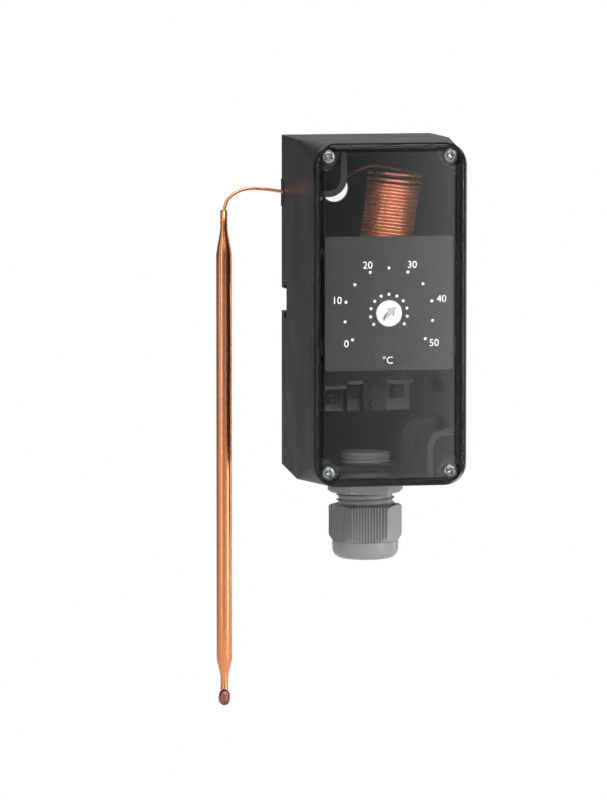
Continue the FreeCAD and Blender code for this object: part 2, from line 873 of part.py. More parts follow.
def frame_tongue(side, z, clearance, depth):
    """A tongue of the frame's side, or its slot when a clearance is given."""
    outer = frame_half_width + clearance
    inner = frame_half_width - sheet_thickness - clearance
    x = (inner, outer) if side > 0 else (-outer, -inner)
    half = tongue_height / 2 + clearance
    return block(x, (z - half, z + half), depth)


def frame_channel(half, back, front, bend):
    """A block as tall as the frame, with two round rear edges."""
    body = block((-half, half), (frame_bottom, frame_top), (back, front))
    rear = [e for e in edges_in_plane(body, "Y", -back) if e.BoundBox.ZLength > bend]
    return body.makeFillet(bend, rear)


def mechanism_frame():
    """Sheet steel folded to a U: a back plate on four posts and two sides that face forwards."""
    outer_bend = frame_bend_radius + sheet_thickness
    outer = frame_channel(frame_half_width, frame_back_depth, bridge_depth, outer_bend)
    inner_half = frame_half_width - sheet_thickness
    inner = frame_channel(inner_half, frame_front, bridge_depth + past, frame_bend_radius)
    sheet = outer.cut(inner)
    wall_x = (-housing_width, housing_width)
    trims = []
    for z in ((frame_bottom - past, flange_bottom), (flange_top, frame_top + past)):
        trims.append(block(wall_x, z, (frame_front + frame_bend_radius, housing_depth)))
    slot_front = carriage_front - carriage_thickness / 2 + guide_slot_length / 2
    slot_z = (dial_z - guide_slot_height / 2, dial_z + guide_slot_height / 2)
    trims.append(block(wall_x, slot_z, (slot_front - guide_slot_length, slot_front)))
    pin_hole = lever_pin_diameter + 2 * fixed_clearance
    trims.append(rod_across(lever_pivot_depth, lever_pivot_z, pin_hole, wall_x))
    stud_hole = capsule_stud_diameter + 2 * fixed_clearance
    back_plate = (frame_back_depth - past, frame_front + past)
    trims.append(rod_out(0, dial_z, stud_hole, back_plate))
    tongues = []
    for side in (-1, 1):
        for z in frame_post_z:
            bore = frame_screw_diameter + 2 * tapped_hole_clearance
            trims.append(rod_out(side * frame_post_x, z, bore, back_plate))
        for z in tongue_z:
            tongues.append(frame_tongue(side, z, 0, (bridge_depth, bridge_front + tongue_reach)))
    return sheet.cut(trims).fuse(tongues).removeSplitter()


def frame_screws():
    screws = []
    for side in (-1, 1):
        for z in frame_post_z:
            reach = frame_screw_reach + sheet_thickness
            head = (frame_screw_head_diameter, frame_screw_head_height)
            screws.append(screw_out(side * frame_post_x, z, frame_front, frame_screw_diameter, reach, *head))
    return Part.makeCompound(screws)


def diaphragm_capsule():
    """Two pressed discs joined at the rim, with a stud behind and a socket for the tube."""
    rim = capsule_diameter / 2
    crown = capsule_crown_diameter / 2
    stud = capsule_stud_diameter / 2
    rim_back = frame_front + (capsule_height - capsule_rim_height) / 2
    rim_front = rim_back + capsule_rim_height
    stud_back = frame_back_depth - capsule_nut_height
    profile = [(0, stud_back), (stud, stud_back), (stud, frame_front), (crown, frame_front)]
    profile += [(rim, rim_back), (rim, rim_front), (crown, capsule_front), (0, capsule_front)]
    shell = turned_out(0, dial_z, profile)
    entry = lead_entry_z()
    bore = capillary_diameter + 2 * fixed_clearance
    socket_z = (entry - capsule_socket_diameter, entry + capsule_socket_length)
    socket = rod_up(lead_x(), lead_depth, capsule_socket_diameter, socket_z)
    hole = rod_up(lead_x(), lead_depth, bore, (entry, entry + capsule_socket_length + past))
    return shell.fuse(socket).cut(hole).removeSplitter()


def capsule_nut():
    """A thin hexagon nut on the stud, behind the frame."""
    points = []
    for across, up in hexagon(capsule_nut_width, 0):
        points.append(V(across, -frame_back_depth, dial_z + up))
    nut = polygon_prism(points, V(0, capsule_nut_height, 0))
    bore = capsule_stud_diameter + 2 * fixed_clearance
    return nut.cut(rod_out(0, dial_z, bore, (0, frame_back_depth + past)))


def capsule_button():
    foot_back = capsule_front + button_gap
    foot_front = foot_back + button_foot_height
    foot = rod_out(0, dial_z, button_foot_diameter, (foot_back, foot_front))
    stem = rod_out(0, dial_z, button_stem_diameter, (foot_front, foot_back + button_height))
    return foot.fuse(stem).removeSplitter()


def actuating_lever():
    """A flat lever that narrows to its tip, with a hub for the pin on its back."""
    half = lever_half_width
    tip = lever_tip_half_width
    right = [(half, lever_pivot_z), (half, lever_taper_z), (tip, lever_tip_z)]
    left = [(-x, z) for x, z in reversed(right)]
    points = [V(x, -lever_back, z) for x, z in right + left]
    blade = polygon_prism(points, V(0, -lever_thickness, 0))
    hub_x = (-lever_hub_half_width, lever_hub_half_width)
    hub = rod_across(lever_pivot_depth, lever_pivot_z, lever_hub_diameter, hub_x)
    bore = lever_pin_diameter + 2 * running_clearance
    hole = rod_across(lever_pivot_depth, lever_pivot_z, bore, (-housing_width, housing_width))
    return blade.fuse(hub).cut(hole).removeSplitter()


def lever_pin():
    """The pin from side to side of the frame, with a head at its left end."""
    x = (-frame_half_width, frame_half_width + lever_pin_overhang)
    shank = rod_across(lever_pivot_depth, lever_pivot_z, lever_pin_diameter, x)
    head_x = (-frame_half_width - lever_pin_head_height, -frame_half_width)
    head = rod_across(lever_pivot_depth, lever_pivot_z, lever_pin_head_diameter, head_x)
    return shank.fuse(head).removeSplitter()


def range_spring():
    """A compression spring between the lever and the carriage."""
    radius = (spring_outer_diameter - spring_wire_diameter) / 2
    first = lever_front + spring_end_gap + spring_wire_diameter / 2
    last = carriage_back - spring_end_gap - spring_wire_diameter / 2
    axis = V(0, -1, 0)
    start = V(radius, -first, dial_z)
    coil = SweptRod(start, axis.cross(V(1, 0, 0)), spring_wire_diameter, rod_sides)
    half_turns = 2 * spring_turns
    open_rise = 2 * (last - first) / (half_turns - 2)
    for half_turn in range(half_turns):
        flat = half_turn in (0, half_turns - 1)
        coil.wind(axis, radius, 0 if flat else open_rise, half_circle)
    return coil.solid()


def spring_carriage():
    """The threaded carriage that the spindle moves, kept from turning by its two tongues."""
    hub = rod_out(0, dial_z, carriage_hub_diameter, (carriage_back, carriage_front))
    reach = frame_half_width - sheet_thickness - carriage_side_gap
    bar_z = (dial_z - carriage_bar_height / 2, dial_z + carriage_bar_height / 2)
    bar = block((-reach, reach), bar_z, (carriage_back, carriage_front))
    tongue = frame_half_width + carriage_tongue_overhang
    middle = (carriage_back + carriage_front) / 2
    tongue_depth = (middle - carriage_tongue_depth / 2, middle + carriage_tongue_depth / 2)
    tongue_z = (dial_z - carriage_tongue_height / 2, dial_z + carriage_tongue_height / 2)
    tongues = block((-tongue, tongue), tongue_z, tongue_depth)
    spigot = rod_out(0, dial_z, spigot_diameter, (carriage_back - spigot_height, carriage_back))
    bore = spindle_thread_diameter + 2 * running_clearance
    body = joined([hub, bar, tongues, spigot])
    return body.cut(rod_out(0, dial_z, bore, (0, housing_depth)))


def terminals():
    """Left edge, right edge and ledge height of each terminal."""
    found = []
    for place, width, drop in zip(terminal_places, terminal_widths, terminal_ledge_drops):
        left = switch_left + place
        found.append((left, left + width, switch_top - drop))
    return found


def switch_screw_bores(depth):
    """The two clear holes through the switch for its fixing screws."""
    bore = switch_screw_diameter + 2 * tapped_hole_clearance
    return [rod_out(switch_screw_x, z, bore, depth) for z in switch_screw_z]


def switch_body():
    """The moulded switch block, with three terminal bays open to the front and below."""
    x = (switch_left, switch_right)
    body = rounded_block(x, (switch_bottom, switch_top), switch_corner, (switch_back, switch_front))
    cuts = switch_screw_bores((switch_back - past, switch_front + past))
    for left, right, ledge in terminals():
        bay_x = (left - terminal_bay_margin, right + terminal_bay_margin)
        bay_z = (switch_bottom - past, ledge + terminal_bay_margin)
        cuts.append(block(bay_x, bay_z, (switch_floor, switch_front + past)))
        bore = terminal_screw_diameter + 2 * fixed_clearance
        depth = (switch_back + terminal_screw_tip_gap / 2, switch_front)
        cuts.append(rod_out((left + right) / 2, ledge - terminal_screw_drop, bore, depth))
    bore = plunger_diameter + 2 * plunger_clearance
    cuts.append(rod_out(0, plunger_z, bore, (switch_back - past, switch_back + plunger_chamber_depth)))
    return body.cut(cuts)


def switch_cover():
    """The thin back cover of the switch, between the block and its two posts."""
    x = (switch_left, switch_right)
    cover = rounded_block(x, (switch_bottom, switch_top), switch_corner, (cover_back, switch_back))
    through = (cover_back - past, switch_back + past)
    cuts = switch_screw_bores(through)
    cuts.append(rod_out(0, plunger_z, plunger_diameter + 2 * plunger_clearance, through))
    return cover.cut(cuts)


def switch_plunger():
    tip = lever_front + plunger_gap
    return rod_out(0, plunger_z, plunger_diameter, (tip, switch_back + plunger_body_length))


def switch_screws():
    screws = []
    reach = switch_front - cover_back + switch_screw_reach - switch_screw_hole_end
    for z in switch_screw_z:
        head = (switch_screw_head_diameter, switch_screw_head_height)
        screws.append(screw_out(switch_screw_x, z, switch_front, switch_screw_diameter, reach, *head))
    return Part.makeCompound(screws)


def terminal_plates():
    """Bent terminal plates: a ledge that faces up, and a leg behind the screw."""
    plates = []
    leg_front = switch_floor + terminal_plate_thickness
    for left, right, ledge in terminals():
        shelf_z = (ledge - terminal_ledge_thickness, ledge)
        shelf = block((left, right), shelf_z, (switch_floor, switch_front))
        leg = block((left, right), (switch_bottom, ledge), (switch_floor, leg_front))
        bore = terminal_screw_diameter + 2 * fixed_clearance
        through = (switch_floor - past, switch_front + past)
        hole = rod_out((left + right) / 2, ledge - terminal_screw_drop, bore, through)
        plates.append(shelf.fuse(leg).removeSplitter().cut(hole))
    return Part.makeCompound(plates)


def terminal_washers():
    """Square wire clamps under the terminal screws."""
    washers = []
    seat = switch_floor + terminal_plate_thickness
    half = terminal_washer_size / 2
    for left, right, ledge in terminals():
        middle = (left + right) / 2
        screw_z = ledge - terminal_screw_drop
        depth = (seat, seat + terminal_washer_thickness)
        plate = block((middle - half, middle + half), (screw_z - half, screw_z + half), depth)
        bore = terminal_screw_diameter + 2 * fixed_clearance
        through = (seat - past, seat + terminal_washer_thickness + past)
        washers.append(plate.cut(rod_out(middle, screw_z, bore, through)))
    return Part.makeCompound(washers)


def terminal_screws():
    screws = []
    seat = switch_floor + terminal_plate_thickness + terminal_washer_thickness
    for left, right, ledge in terminals():
        middle = (left + right) / 2
        screw_z = ledge - terminal_screw_drop
        head = (terminal_screw_head_diameter, terminal_screw_head_height)
        reach = seat - switch_back - terminal_screw_tip_gap
        screw = screw_out(middle, screw_z, seat, terminal_screw_diameter, reach, *head)
        half_slot = terminal_screw_slot / 2
        slot_depth = (seat + terminal_screw_head_height / 2, seat + terminal_screw_head_height + past)
        slot_x = (middle - terminal_screw_head_diameter, middle + terminal_screw_head_diameter)
        screws.append(screw.cut(block(slot_x, (screw_z - half_slot, screw_z + half_slot), slot_depth)))
    return Part.makeCompound(screws)


def coil_axis():
    lean = math.radians(coil_lean)
    return V(math.sin(lean), 0, math.cos(lean))


def coil_start():
    """The left side of the coil's lowest turn, where the tube runs straight forwards."""
    lean = math.radians(coil_lean)
    left = V(-math.cos(lean), 0, math.sin(lean))
    return V(coil_centre_x, -coil_centre_depth, coil_bottom_z) + left * coil_radius


def lead_x():
    return coil_start().x


def lead_entry_z():
    """The height at which the upright lead meets the capsule's rim."""
    return dial_z + math.sqrt((capsule_diameter / 2) ** 2 - lead_x() ** 2)


def route_points():
    """The corners of the tube's way from the coil, through back wall and grommet, to the bulb."""
    return [V(x, -depth, grommet_z + rise) for x, depth, rise in tube_route]


def grommet_run():
    """The two corners between which the tube runs straight through the grommet."""
    points = route_points()
    return points[1], points[2]


def capillary_tube():
    """The capsule's lead, the coil, the way through the back wall, and the bend to the bulb."""
    entry = lead_entry_z() + fixed_clearance
    tube = SweptRod(V(lead_x(), -lead_depth, entry), V(0, 0, 1), capillary_diameter, rod_sides)
    tube.forward(coil_start().z - lead_bend_radius - entry)
    tube.turn(V(1, 0, 0), lead_bend_radius, half_circle / 2)
    tube.forward(coil_centre_depth - lead_depth - lead_bend_radius)
    for half_turn in range(2 * coil_close_turns):
        tube.wind(coil_axis(), coil_radius, coil_pitch, half_circle)
    for half_turn in range(coil_loose_half_turns):
        rise = coil_pitch + coil_loose_growth * (half_turn + 1)
        tube.wind(coil_axis(), coil_radius, rise, half_circle)
    last_rise = coil_pitch + coil_loose_growth * coil_loose_half_turns
    tube.wind(coil_axis(), coil_radius, last_rise, half_circle / 2)
    points = [tube.at + tube.heading * exit_run]
    points += route_points()
    points.append(V(bulb_x, -bulb_depth, bulb_top_z - bulb_bore_depth))
    tube.route(points)
    return tube.solid()


def capillary_grommet():
    """A half round rubber grommet in the left skirt, with a flange inside."""
    plug_x = (-half_width - grommet_proud, -cavity_x)
    plug = rod_across(0, grommet_z, notch_diameter - 2 * grommet_gap, plug_x)
    flange_x = (-cavity_x, grommet_flange_width - cavity_x)
    flange = rod_across(0, grommet_z, grommet_flange_diameter, flange_x)
    clear_top = wall_screw_z - wall_boss_diameter / 2
    flange = flange.common(block(flange_x, (0, clear_top), (0, back_recess)))
    wide = (-housing_width, housing_width)
    body = plug.fuse(flange).common(block(wide, (0, housing_height), (0, back_recess)))
    bore = capillary_diameter / 2 + grommet_bore_clearance
    start, end = grommet_run()
    hole = Part.makeCylinder(bore, (end - start).Length, start, end - start)
    return body.cut(hole).removeSplitter()


def sensor_bulb():
    """A drawn copper bulb: neck, long taper, parallel body, tail and closed end."""
    neck = bulb_neck_diameter / 2
    full = bulb_diameter / 2
    tail = bulb_tail_diameter / 2
    weld = bulb_weld_diameter / 2
    bore = capillary_diameter / 2 + bulb_bore_clearance
    bore_end = bulb_top_z - bulb_bore_depth - bulb_bore_clearance
    shoulder = bulb_top_z - bulb_neck_length
    full_top = shoulder - bulb_taper_length
    full_bottom = full_top - bulb_body_length
    tail_top = full_bottom - bulb_foot_taper_length
    weld_top = tail_top - bulb_tail_length
    tip = weld_top - bulb_weld_length
    lip = neck + (full - neck) * bulb_shoulder_share
    profile = [(0, bore_end), (bore, bore_end), (bore, bulb_top_z), (neck, bulb_top_z)]
    profile += [(neck, shoulder), (lip, shoulder - neck), (full, full_top), (full, full_bottom)]
    profile += [(tail, tail_top), (tail, weld_top), (weld, weld_top - weld / 2)]
    profile += [(weld, tip + weld), (weld / 2, tip), (0, tip)]
    return turned_up(bulb_x, bulb_depth, profile)


def hexagon(width, turn):
    """The corners of a hexagon round an axis, turned from a corner at the right."""
    corner_radius = width / math.sqrt(3)
    corners = []
    for corner in range(6):
        angle = math.pi / 3 * corner + math.radians(turn)
        corners.append((corner_radius * math.cos(angle), corner_radius * math.sin(angle)))
    return corners


def gland_hexagon(z):
    """The corners of the gland's and the nut's hexagon at one height."""
    return [V(x, y - gland_depth, z) for x, y in hexagon(gland_hex_width, gland_turn)]


def chamfered_hexagon(outline, top, bottom, top_chamfer, bottom_chamfer):
    """An upright prism on the outline, with its corners taken off above and below."""
    corner = gland_hex_width / math.sqrt(3)
    envelope = [(0, top), (corner - top_chamfer, top), (corner, top - top_chamfer)]
    envelope += [(corner, bottom + bottom_chamfer), (corner - bottom_chamfer, bottom), (0, bottom)]
    prism = polygon_prism(outline, V(0, 0, bottom - top))
    return prism.common(turned_up(0, gland_depth, envelope))


def gland_stem():
    """The gland's turned form: inner thread, neck with the thread's ridges, and fingers."""
    thread = gland_thread_diameter / 2
    neck = gland_neck_diameter / 2
    finger = gland_finger_diameter / 2
    thread_start = gland_inner_top - gland_thread_chamfer
    stem = [(0, gland_inner_top), (thread - gland_thread_chamfer, gland_inner_top), (thread, thread_start)]
    stem += [(thread, washer_bottom), (thread, hex_bottom), (neck, hex_bottom)]
    for ridge in range(int(gland_neck_length / gland_neck_pitch)):
        top = hex_bottom - ridge * gland_neck_pitch
        stem.append((neck - gland_neck_ridge, top - gland_neck_pitch / 2))
        stem.append((neck, top - gland_neck_pitch))
    stem += [(finger, neck_bottom), (finger, finger_bottom), (0, finger_bottom)]
    return turned_up(0, gland_depth, stem)


def gland_body():
    """The gland's fixed half: inner thread, hexagon, outer thread and slotted fingers."""
    outline = gland_hexagon(washer_bottom)
    body = chamfered_hexagon(outline, washer_bottom, hex_bottom, gland_hex_chamfer, gland_hex_chamfer)
    body = body.fuse(gland_stem())
    cuts = [rod_up(0, gland_depth, gland_bore, (finger_bottom - past, gland_inner_top + past))]
    cuts.append(rod_up(0, gland_depth, gland_finger_bore, (finger_bottom - past, neck_bottom + past)))
    for slot in range(gland_finger_count // 2):
        half = gland_finger_slot / 2
        slot_x = (-gland_neck_diameter, gland_neck_diameter)
        cut = block(slot_x, (finger_bottom - past, neck_bottom), (gland_depth - half, gland_depth + half))
        cut.rotate(V(0, -gland_depth, 0), V(0, 0, 1), 2 * half_circle * slot / gland_finger_count)
        cuts.append(cut)
    return body.cut(cuts).removeSplitter()


def gland_washer():
    outer = rod_up(0, gland_depth, gland_washer_diameter, (washer_bottom, pad_z))
    bore = gland_thread_diameter + 2 * tapped_hole_clearance
    return outer.cut(rod_up(0, gland_depth, bore, (washer_bottom - past, pad_z + past)))


def gland_insert():
    """The rubber seal inside the fingers, with a flange that the nut's shoulder pushes."""
    bore = insert_bore / 2
    outer = gland_finger_bore / 2 - insert_side_gap
    flange = gland_finger_diameter / 2
    top = neck_bottom - insert_top_gap
    profile = [(bore, top), (outer, top), (outer, insert_flange_top), (flange, insert_flange_top)]
    profile += [(flange, insert_bottom), (bore, insert_bottom)]
    return turned_up(0, gland_depth, profile)


def ribbed_hexagon():
    """The nut's hexagon, whose flats carry a row of upright ribs between smooth bands."""
    corners = gland_hexagon(nut_top)
    points = []
    for start, end in zip(corners, corners[1:] + corners[:1]):
        along = V(end - start).normalize()
        inward = V(0, 0, 1).cross(along)
        middle = (start + end) / 2
        points.append(start)
        first = -nut_rib_pitch * nut_rib_count / 2
        for rib in range(nut_rib_count):
            left = middle + along * (first + nut_rib_pitch * rib)
            points.append(left)
            points.append(left + along * (nut_rib_pitch / 2) + inward * nut_rib_depth)
        points.append(middle - along * first)
    return points


def gland_nut():
    """The clamping nut: ribbed hexagon, dome below, and a shoulder that pushes the seal."""
    grip = chamfered_hexagon(ribbed_hexagon(), nut_top, nut_grip_bottom, gland_hex_chamfer, nut_edge_chamfer)
    dome = rod_up(0, gland_depth, nut_dome_diameter, (nut_bottom, nut_grip_bottom))
    dome = dome.makeFillet(nut_dome_round, edges_in_plane(dome, "Z", nut_bottom))
    room = gland_neck_diameter / 2 + nut_wall_clearance
    shoulder_room = gland_finger_diameter / 2 + nut_wall_clearance
    mouth = nut_mouth_diameter / 2
    thread_end = nut_top - nut_thread_depth
    inside = [(0, nut_top + past), (room, nut_top + past), (room, thread_end)]
    inside += [(shoulder_room, thread_end - nut_thread_end_chamfer), (shoulder_room, insert_seat)]
    inside += [(mouth, insert_seat), (mouth, nut_bottom - past), (0, nut_bottom - past)]
    return grip.fuse(dome).cut(turned_up(0, gland_depth, inside)).removeSplitter()


PARTS = {
    "housing_base": housing_base,
    "clear_lid": clear_lid,
    "lid_gasket": lid_gasket,
    "lid_screws": lid_screws,
    "scale_plate": scale_plate,
    "setting_disc": setting_disc,
    "setting_spindle": setting_spindle,
    "spindle_bush": spindle_bush,
    "front_bridge": front_bridge,
    "mechanism_frame": mechanism_frame,
    "frame_screws": frame_screws,
    "diaphragm_capsule": diaphragm_capsule,
    "capsule_nut": capsule_nut,
    "capsule_button": capsule_button,
    "actuating_lever": actuating_lever,
    "lever_pin": lever_pin,
    "range_spring": range_spring,
    "spring_carriage": spring_carriage,
    "switch_body": switch_body,
    "switch_cover": switch_cover,
    "switch_plunger": switch_plunger,
    "switch_screws": switch_screws,
    "terminal_plates": terminal_plates,
    "terminal_washers": terminal_washers,
    "terminal_screws": terminal_screws,
    "capillary_tube": capillary_tube,
    "capillary_grommet": capillary_grommet,
    "sensor_bulb": sensor_bulb,
    "gland_body": gland_body,
    "gland_washer": gland_washer,
    "gland_insert": gland_insert,
    "gland_nut": gland_nut,
}


def main():
    os.makedirs("parts", exist_ok=True)
    for name, make in PARTS.items():
        shape = make()
        print(name, len(shape.Solids), round(shape.Volume, 1), shape.isValid())
        shape.exportStep("parts/" + name + ".step")


main()
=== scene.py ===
import math

import bmesh
import bpy
from mathutils import Matrix, Vector, noise

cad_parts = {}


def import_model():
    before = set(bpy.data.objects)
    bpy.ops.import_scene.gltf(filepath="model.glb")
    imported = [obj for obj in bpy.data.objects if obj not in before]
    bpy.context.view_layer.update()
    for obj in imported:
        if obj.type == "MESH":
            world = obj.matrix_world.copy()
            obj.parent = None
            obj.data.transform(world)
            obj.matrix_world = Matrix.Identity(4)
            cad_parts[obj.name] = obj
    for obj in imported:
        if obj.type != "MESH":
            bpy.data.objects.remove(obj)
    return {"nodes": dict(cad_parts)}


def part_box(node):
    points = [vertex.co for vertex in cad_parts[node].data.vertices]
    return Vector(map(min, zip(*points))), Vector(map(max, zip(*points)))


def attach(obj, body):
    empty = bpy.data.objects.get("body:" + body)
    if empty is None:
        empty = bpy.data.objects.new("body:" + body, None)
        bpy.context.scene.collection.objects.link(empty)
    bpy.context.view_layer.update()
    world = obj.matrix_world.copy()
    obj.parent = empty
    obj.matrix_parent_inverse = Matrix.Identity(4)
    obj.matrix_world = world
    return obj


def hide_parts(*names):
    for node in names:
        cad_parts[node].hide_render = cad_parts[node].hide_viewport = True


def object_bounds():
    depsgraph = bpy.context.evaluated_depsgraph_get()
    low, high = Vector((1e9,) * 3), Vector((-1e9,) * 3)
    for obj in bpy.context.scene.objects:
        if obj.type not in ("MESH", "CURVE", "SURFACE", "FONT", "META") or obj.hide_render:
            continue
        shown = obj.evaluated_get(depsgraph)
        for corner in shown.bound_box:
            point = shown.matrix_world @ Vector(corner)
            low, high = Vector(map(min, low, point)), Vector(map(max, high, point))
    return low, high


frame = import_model()
cad_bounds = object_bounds()

# All lengths are in metres. X runs right, Z up, and the wall is the plane Y = 0.
MM = 0.001

# Camera, at the photograph's viewing angle
CAMERA_AIM = Vector((-0.0269, -0.0302, -0.0348))
CAMERA_AZIMUTH = -11.38
CAMERA_ELEVATION = 5.48
CAMERA_DISTANCE = 2.5003
CAMERA_LENS = 294.75
SENSOR_LONG_SIDE = 36.0
CAMERA_REACH = 50.0

# Studio
AMBIENT = 0.13
GLOSS_FRONT = 0.04
GLOSS_BACK = 0.22
GLOSS_LOW = 0.25
GLOSS_RISE = 0.09
GLOSS_SKY = 0.7
SKY_START = 0.12
SKY_END = 0.55
GLOSS_TURN_START = -0.15
GLOSS_TURN_END = 0.75
CARD_PLACE = Vector((0.118, -0.65, -0.055))
CARD_WIDTH = 0.08
CARD_HEIGHT = 0.5
CARD_POWER = 0.19
CARD_FALLOFF = 2.4
FLOOR_DROP = 0.12
FLOOR_SIZE = 12.0
FLOOR_LIFT = 0.3
SHADOW_REACH = 0.5
CARD_AIM = (0.0, -0.065, 0.0)
LAMP_AIM = (0.0, -0.03, 0.0)
WHITE = (1.0, 1.0, 1.0, 1.0)

# Surface patterns: noise scales per metre, and where a mask starts and is full
GRAIN_SCALE = 3200.0
PIT_SCALE = 1900.0
PIT_SHARE = 0.5
SPECKLE_GAIN = 1.25
BEVEL_SAMPLES = 6
# The paler edges of moulded parts are a painted highlight
EDGE_HIGHLIGHT_START = 0.02
EDGE_HIGHLIGHT_FULL = 0.25
EDGE_HIGHLIGHT_AMOUNT = 0.7
SCRATCH_TURNS = (0.6, 2.1)
SCRATCH_STRETCH = 40.0
SCRATCH_START = 0.68
SCRATCH_FULL = 0.74
GLOSS_BLOTCH_SCALE = 55.0
GLOSS_BLOTCH = 0.05

# Shading of the CAD nodes
SHARP_ABOVE = 28.0
WELD_DISTANCE = 0.002 * MM


def rgb(red, green, blue):
    """A colour with full alpha, as colour sockets take it."""
    return (red, green, blue, 1.0)


def grey(level):
    return rgb(level, level, level)


def box_of(node):
    """Lowest and highest corner of a CAD node, as vectors."""
    low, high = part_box(node)
    return Vector(low), Vector(high)


def link(thing):
    bpy.context.scene.collection.objects.link(thing)
    return thing


def mesh_from(shape, name):
    """A mesh from a bmesh, which is freed."""
    mesh = bpy.data.meshes.new(name)
    shape.to_mesh(mesh)
    shape.free()
    return mesh


def mesh_from_curve(curve, name):
    """The mesh that a curve or text makes, through an object that doesn't stay."""
    carrier = link(bpy.data.objects.new(name, curve))
    bpy.context.view_layer.update()
    mesh = bpy.data.meshes.new_from_object(carrier.evaluated_get(bpy.context.evaluated_depsgraph_get()))
    bpy.data.objects.remove(carrier)
    mesh.materials.clear()
    return mesh


# Shader node helpers

def new_group(name, inputs, outputs):
    """A shader node group with named float, vector or colour sockets."""
    kinds = {"float": "NodeSocketFloat", "vector": "NodeSocketVector", "color": "NodeSocketColor"}
    tree = bpy.data.node_groups.new(name, "ShaderNodeTree")
    for socket_name, kind, default in inputs:
        socket = tree.interface.new_socket(name=socket_name, in_out="INPUT", socket_type=kinds[kind])
        socket.default_value = default
    for socket_name, kind in outputs:
        tree.interface.new_socket(name=socket_name, in_out="OUTPUT", socket_type=kinds[kind])
    return tree, tree.nodes.new("NodeGroupInput"), tree.nodes.new("NodeGroupOutput")


def put(tree, kind, values=None, links=None, **settings):
    """A node with its settings, its plain socket values and its incoming links."""
    node = tree.nodes.new(kind)
    for name, value in settings.items():
        setattr(node, name, value)
    for key, value in (values or {}).items():
        node.inputs[key].default_value = value
    for key, source in (links or {}).items():
        tree.links.new(source, node.inputs[key])
    return node


def math_node(tree, operation, first, second, clamp=False):
    """A Math node on two sockets or numbers."""
    node = put(tree, "ShaderNodeMath", operation=operation, use_clamp=clamp)
    for index, value in enumerate((first, second)):
        if isinstance(value, (int, float)):
            node.inputs[index].default_value = value
        else:
            tree.links.new(value, node.inputs[index])
    return node.outputs[0]


def span_node(tree, value, from_low, from_high, to_low, to_high):
    """A Map Range node."""
    ranges = {"From Min": from_low, "From Max": from_high, "To Min": to_low, "To Max": to_high}
    node = put(tree, "ShaderNodeMapRange", ranges, {"Value": value})
    return node.outputs["Result"]


def grain_group():
    """The fine pitted grain of a moulded or cast surface."""
    inputs = [("Size", "float", 1.0), ("Depth", "float", 1.0)]
    tree, entry, leave = new_group("moulded_grain", inputs, [("Height", "float"), ("Speckle", "float")])
    where = put(tree, "ShaderNodeTexCoord").outputs["Object"]
    fine = put(tree, "ShaderNodeTexNoise", {"Detail": 2.0, "Roughness": 0.6}, {"Vector": where})
    tree.links.new(math_node(tree, "DIVIDE", GRAIN_SCALE, entry.outputs["Size"]), fine.inputs["Scale"])
    pits = put(tree, "ShaderNodeTexVoronoi", {"Randomness": 1.0}, {"Vector": where})
    tree.links.new(math_node(tree, "DIVIDE", PIT_SCALE, entry.outputs["Size"]), pits.inputs["Scale"])
    pitted = math_node(tree, "MULTIPLY", pits.outputs["Distance"], PIT_SHARE)
    mixed = math_node(tree, "ADD", fine.outputs["Fac"], pitted)
    height = math_node(tree, "MULTIPLY", mixed, entry.outputs["Depth"])
    tree.links.new(height, leave.inputs["Height"])
    tree.links.new(fine.outputs["Fac"], leave.inputs["Speckle"])
    return tree


def blotch_group():
    """Broad, soft unevenness, as handling and flow in the mould leave it."""
    inputs = [("Scale", "float", 40.0), ("Low", "float", 0.0), ("High", "float", 1.0)]
    tree, entry, leave = new_group("soft_blotches", inputs, [("Mask", "float")])
    where = put(tree, "ShaderNodeTexCoord").outputs["Object"]
    cloud = put(tree, "ShaderNodeTexNoise", {"Detail": 4.0, "Roughness": 0.55}, {"Vector": where})
    tree.links.new(entry.outputs["Scale"], cloud.inputs["Scale"])
    ends = {"From Min": 0.3, "From Max": 0.7}
    ramp = put(tree, "ShaderNodeMapRange", ends, {"Value": cloud.outputs["Fac"]})
    tree.links.new(entry.outputs["Low"], ramp.inputs["To Min"])
    tree.links.new(entry.outputs["High"], ramp.inputs["To Max"])
    tree.links.new(ramp.outputs["Result"], leave.inputs["Mask"])
    return tree


def edge_highlight_group():
    """Paler edges as a painted highlight: a mask where the bevelled normal leaves the true one, and the
    bevelled normal.
    """
    inputs = [("Radius", "float", 0.0005), ("Amount", "float", 1.0)]
    tree, entry, leave = new_group("painted_edge_highlight", inputs, [("Mask", "float"), ("Normal", "vector")])
    bevel = put(tree, "ShaderNodeBevel", samples=BEVEL_SAMPLES)
    tree.links.new(entry.outputs["Radius"], bevel.inputs["Radius"])
    true_normal = put(tree, "ShaderNodeNewGeometry").outputs["Normal"]
    dot = put(tree, "ShaderNodeVectorMath", operation="DOT_PRODUCT")
    tree.links.new(bevel.outputs["Normal"], dot.inputs[0])
    tree.links.new(true_normal, dot.inputs[1])
    bent = math_node(tree, "SUBTRACT", 1.0, dot.outputs["Value"], True)
    highlighted = span_node(tree, bent, EDGE_HIGHLIGHT_START, EDGE_HIGHLIGHT_FULL, 0.0, 1.0)
    mask = math_node(tree, "MULTIPLY", highlighted, entry.outputs["Amount"])
    tree.links.new(mask, leave.inputs["Mask"])
    tree.links.new(bevel.outputs["Normal"], leave.inputs["Normal"])
    return tree


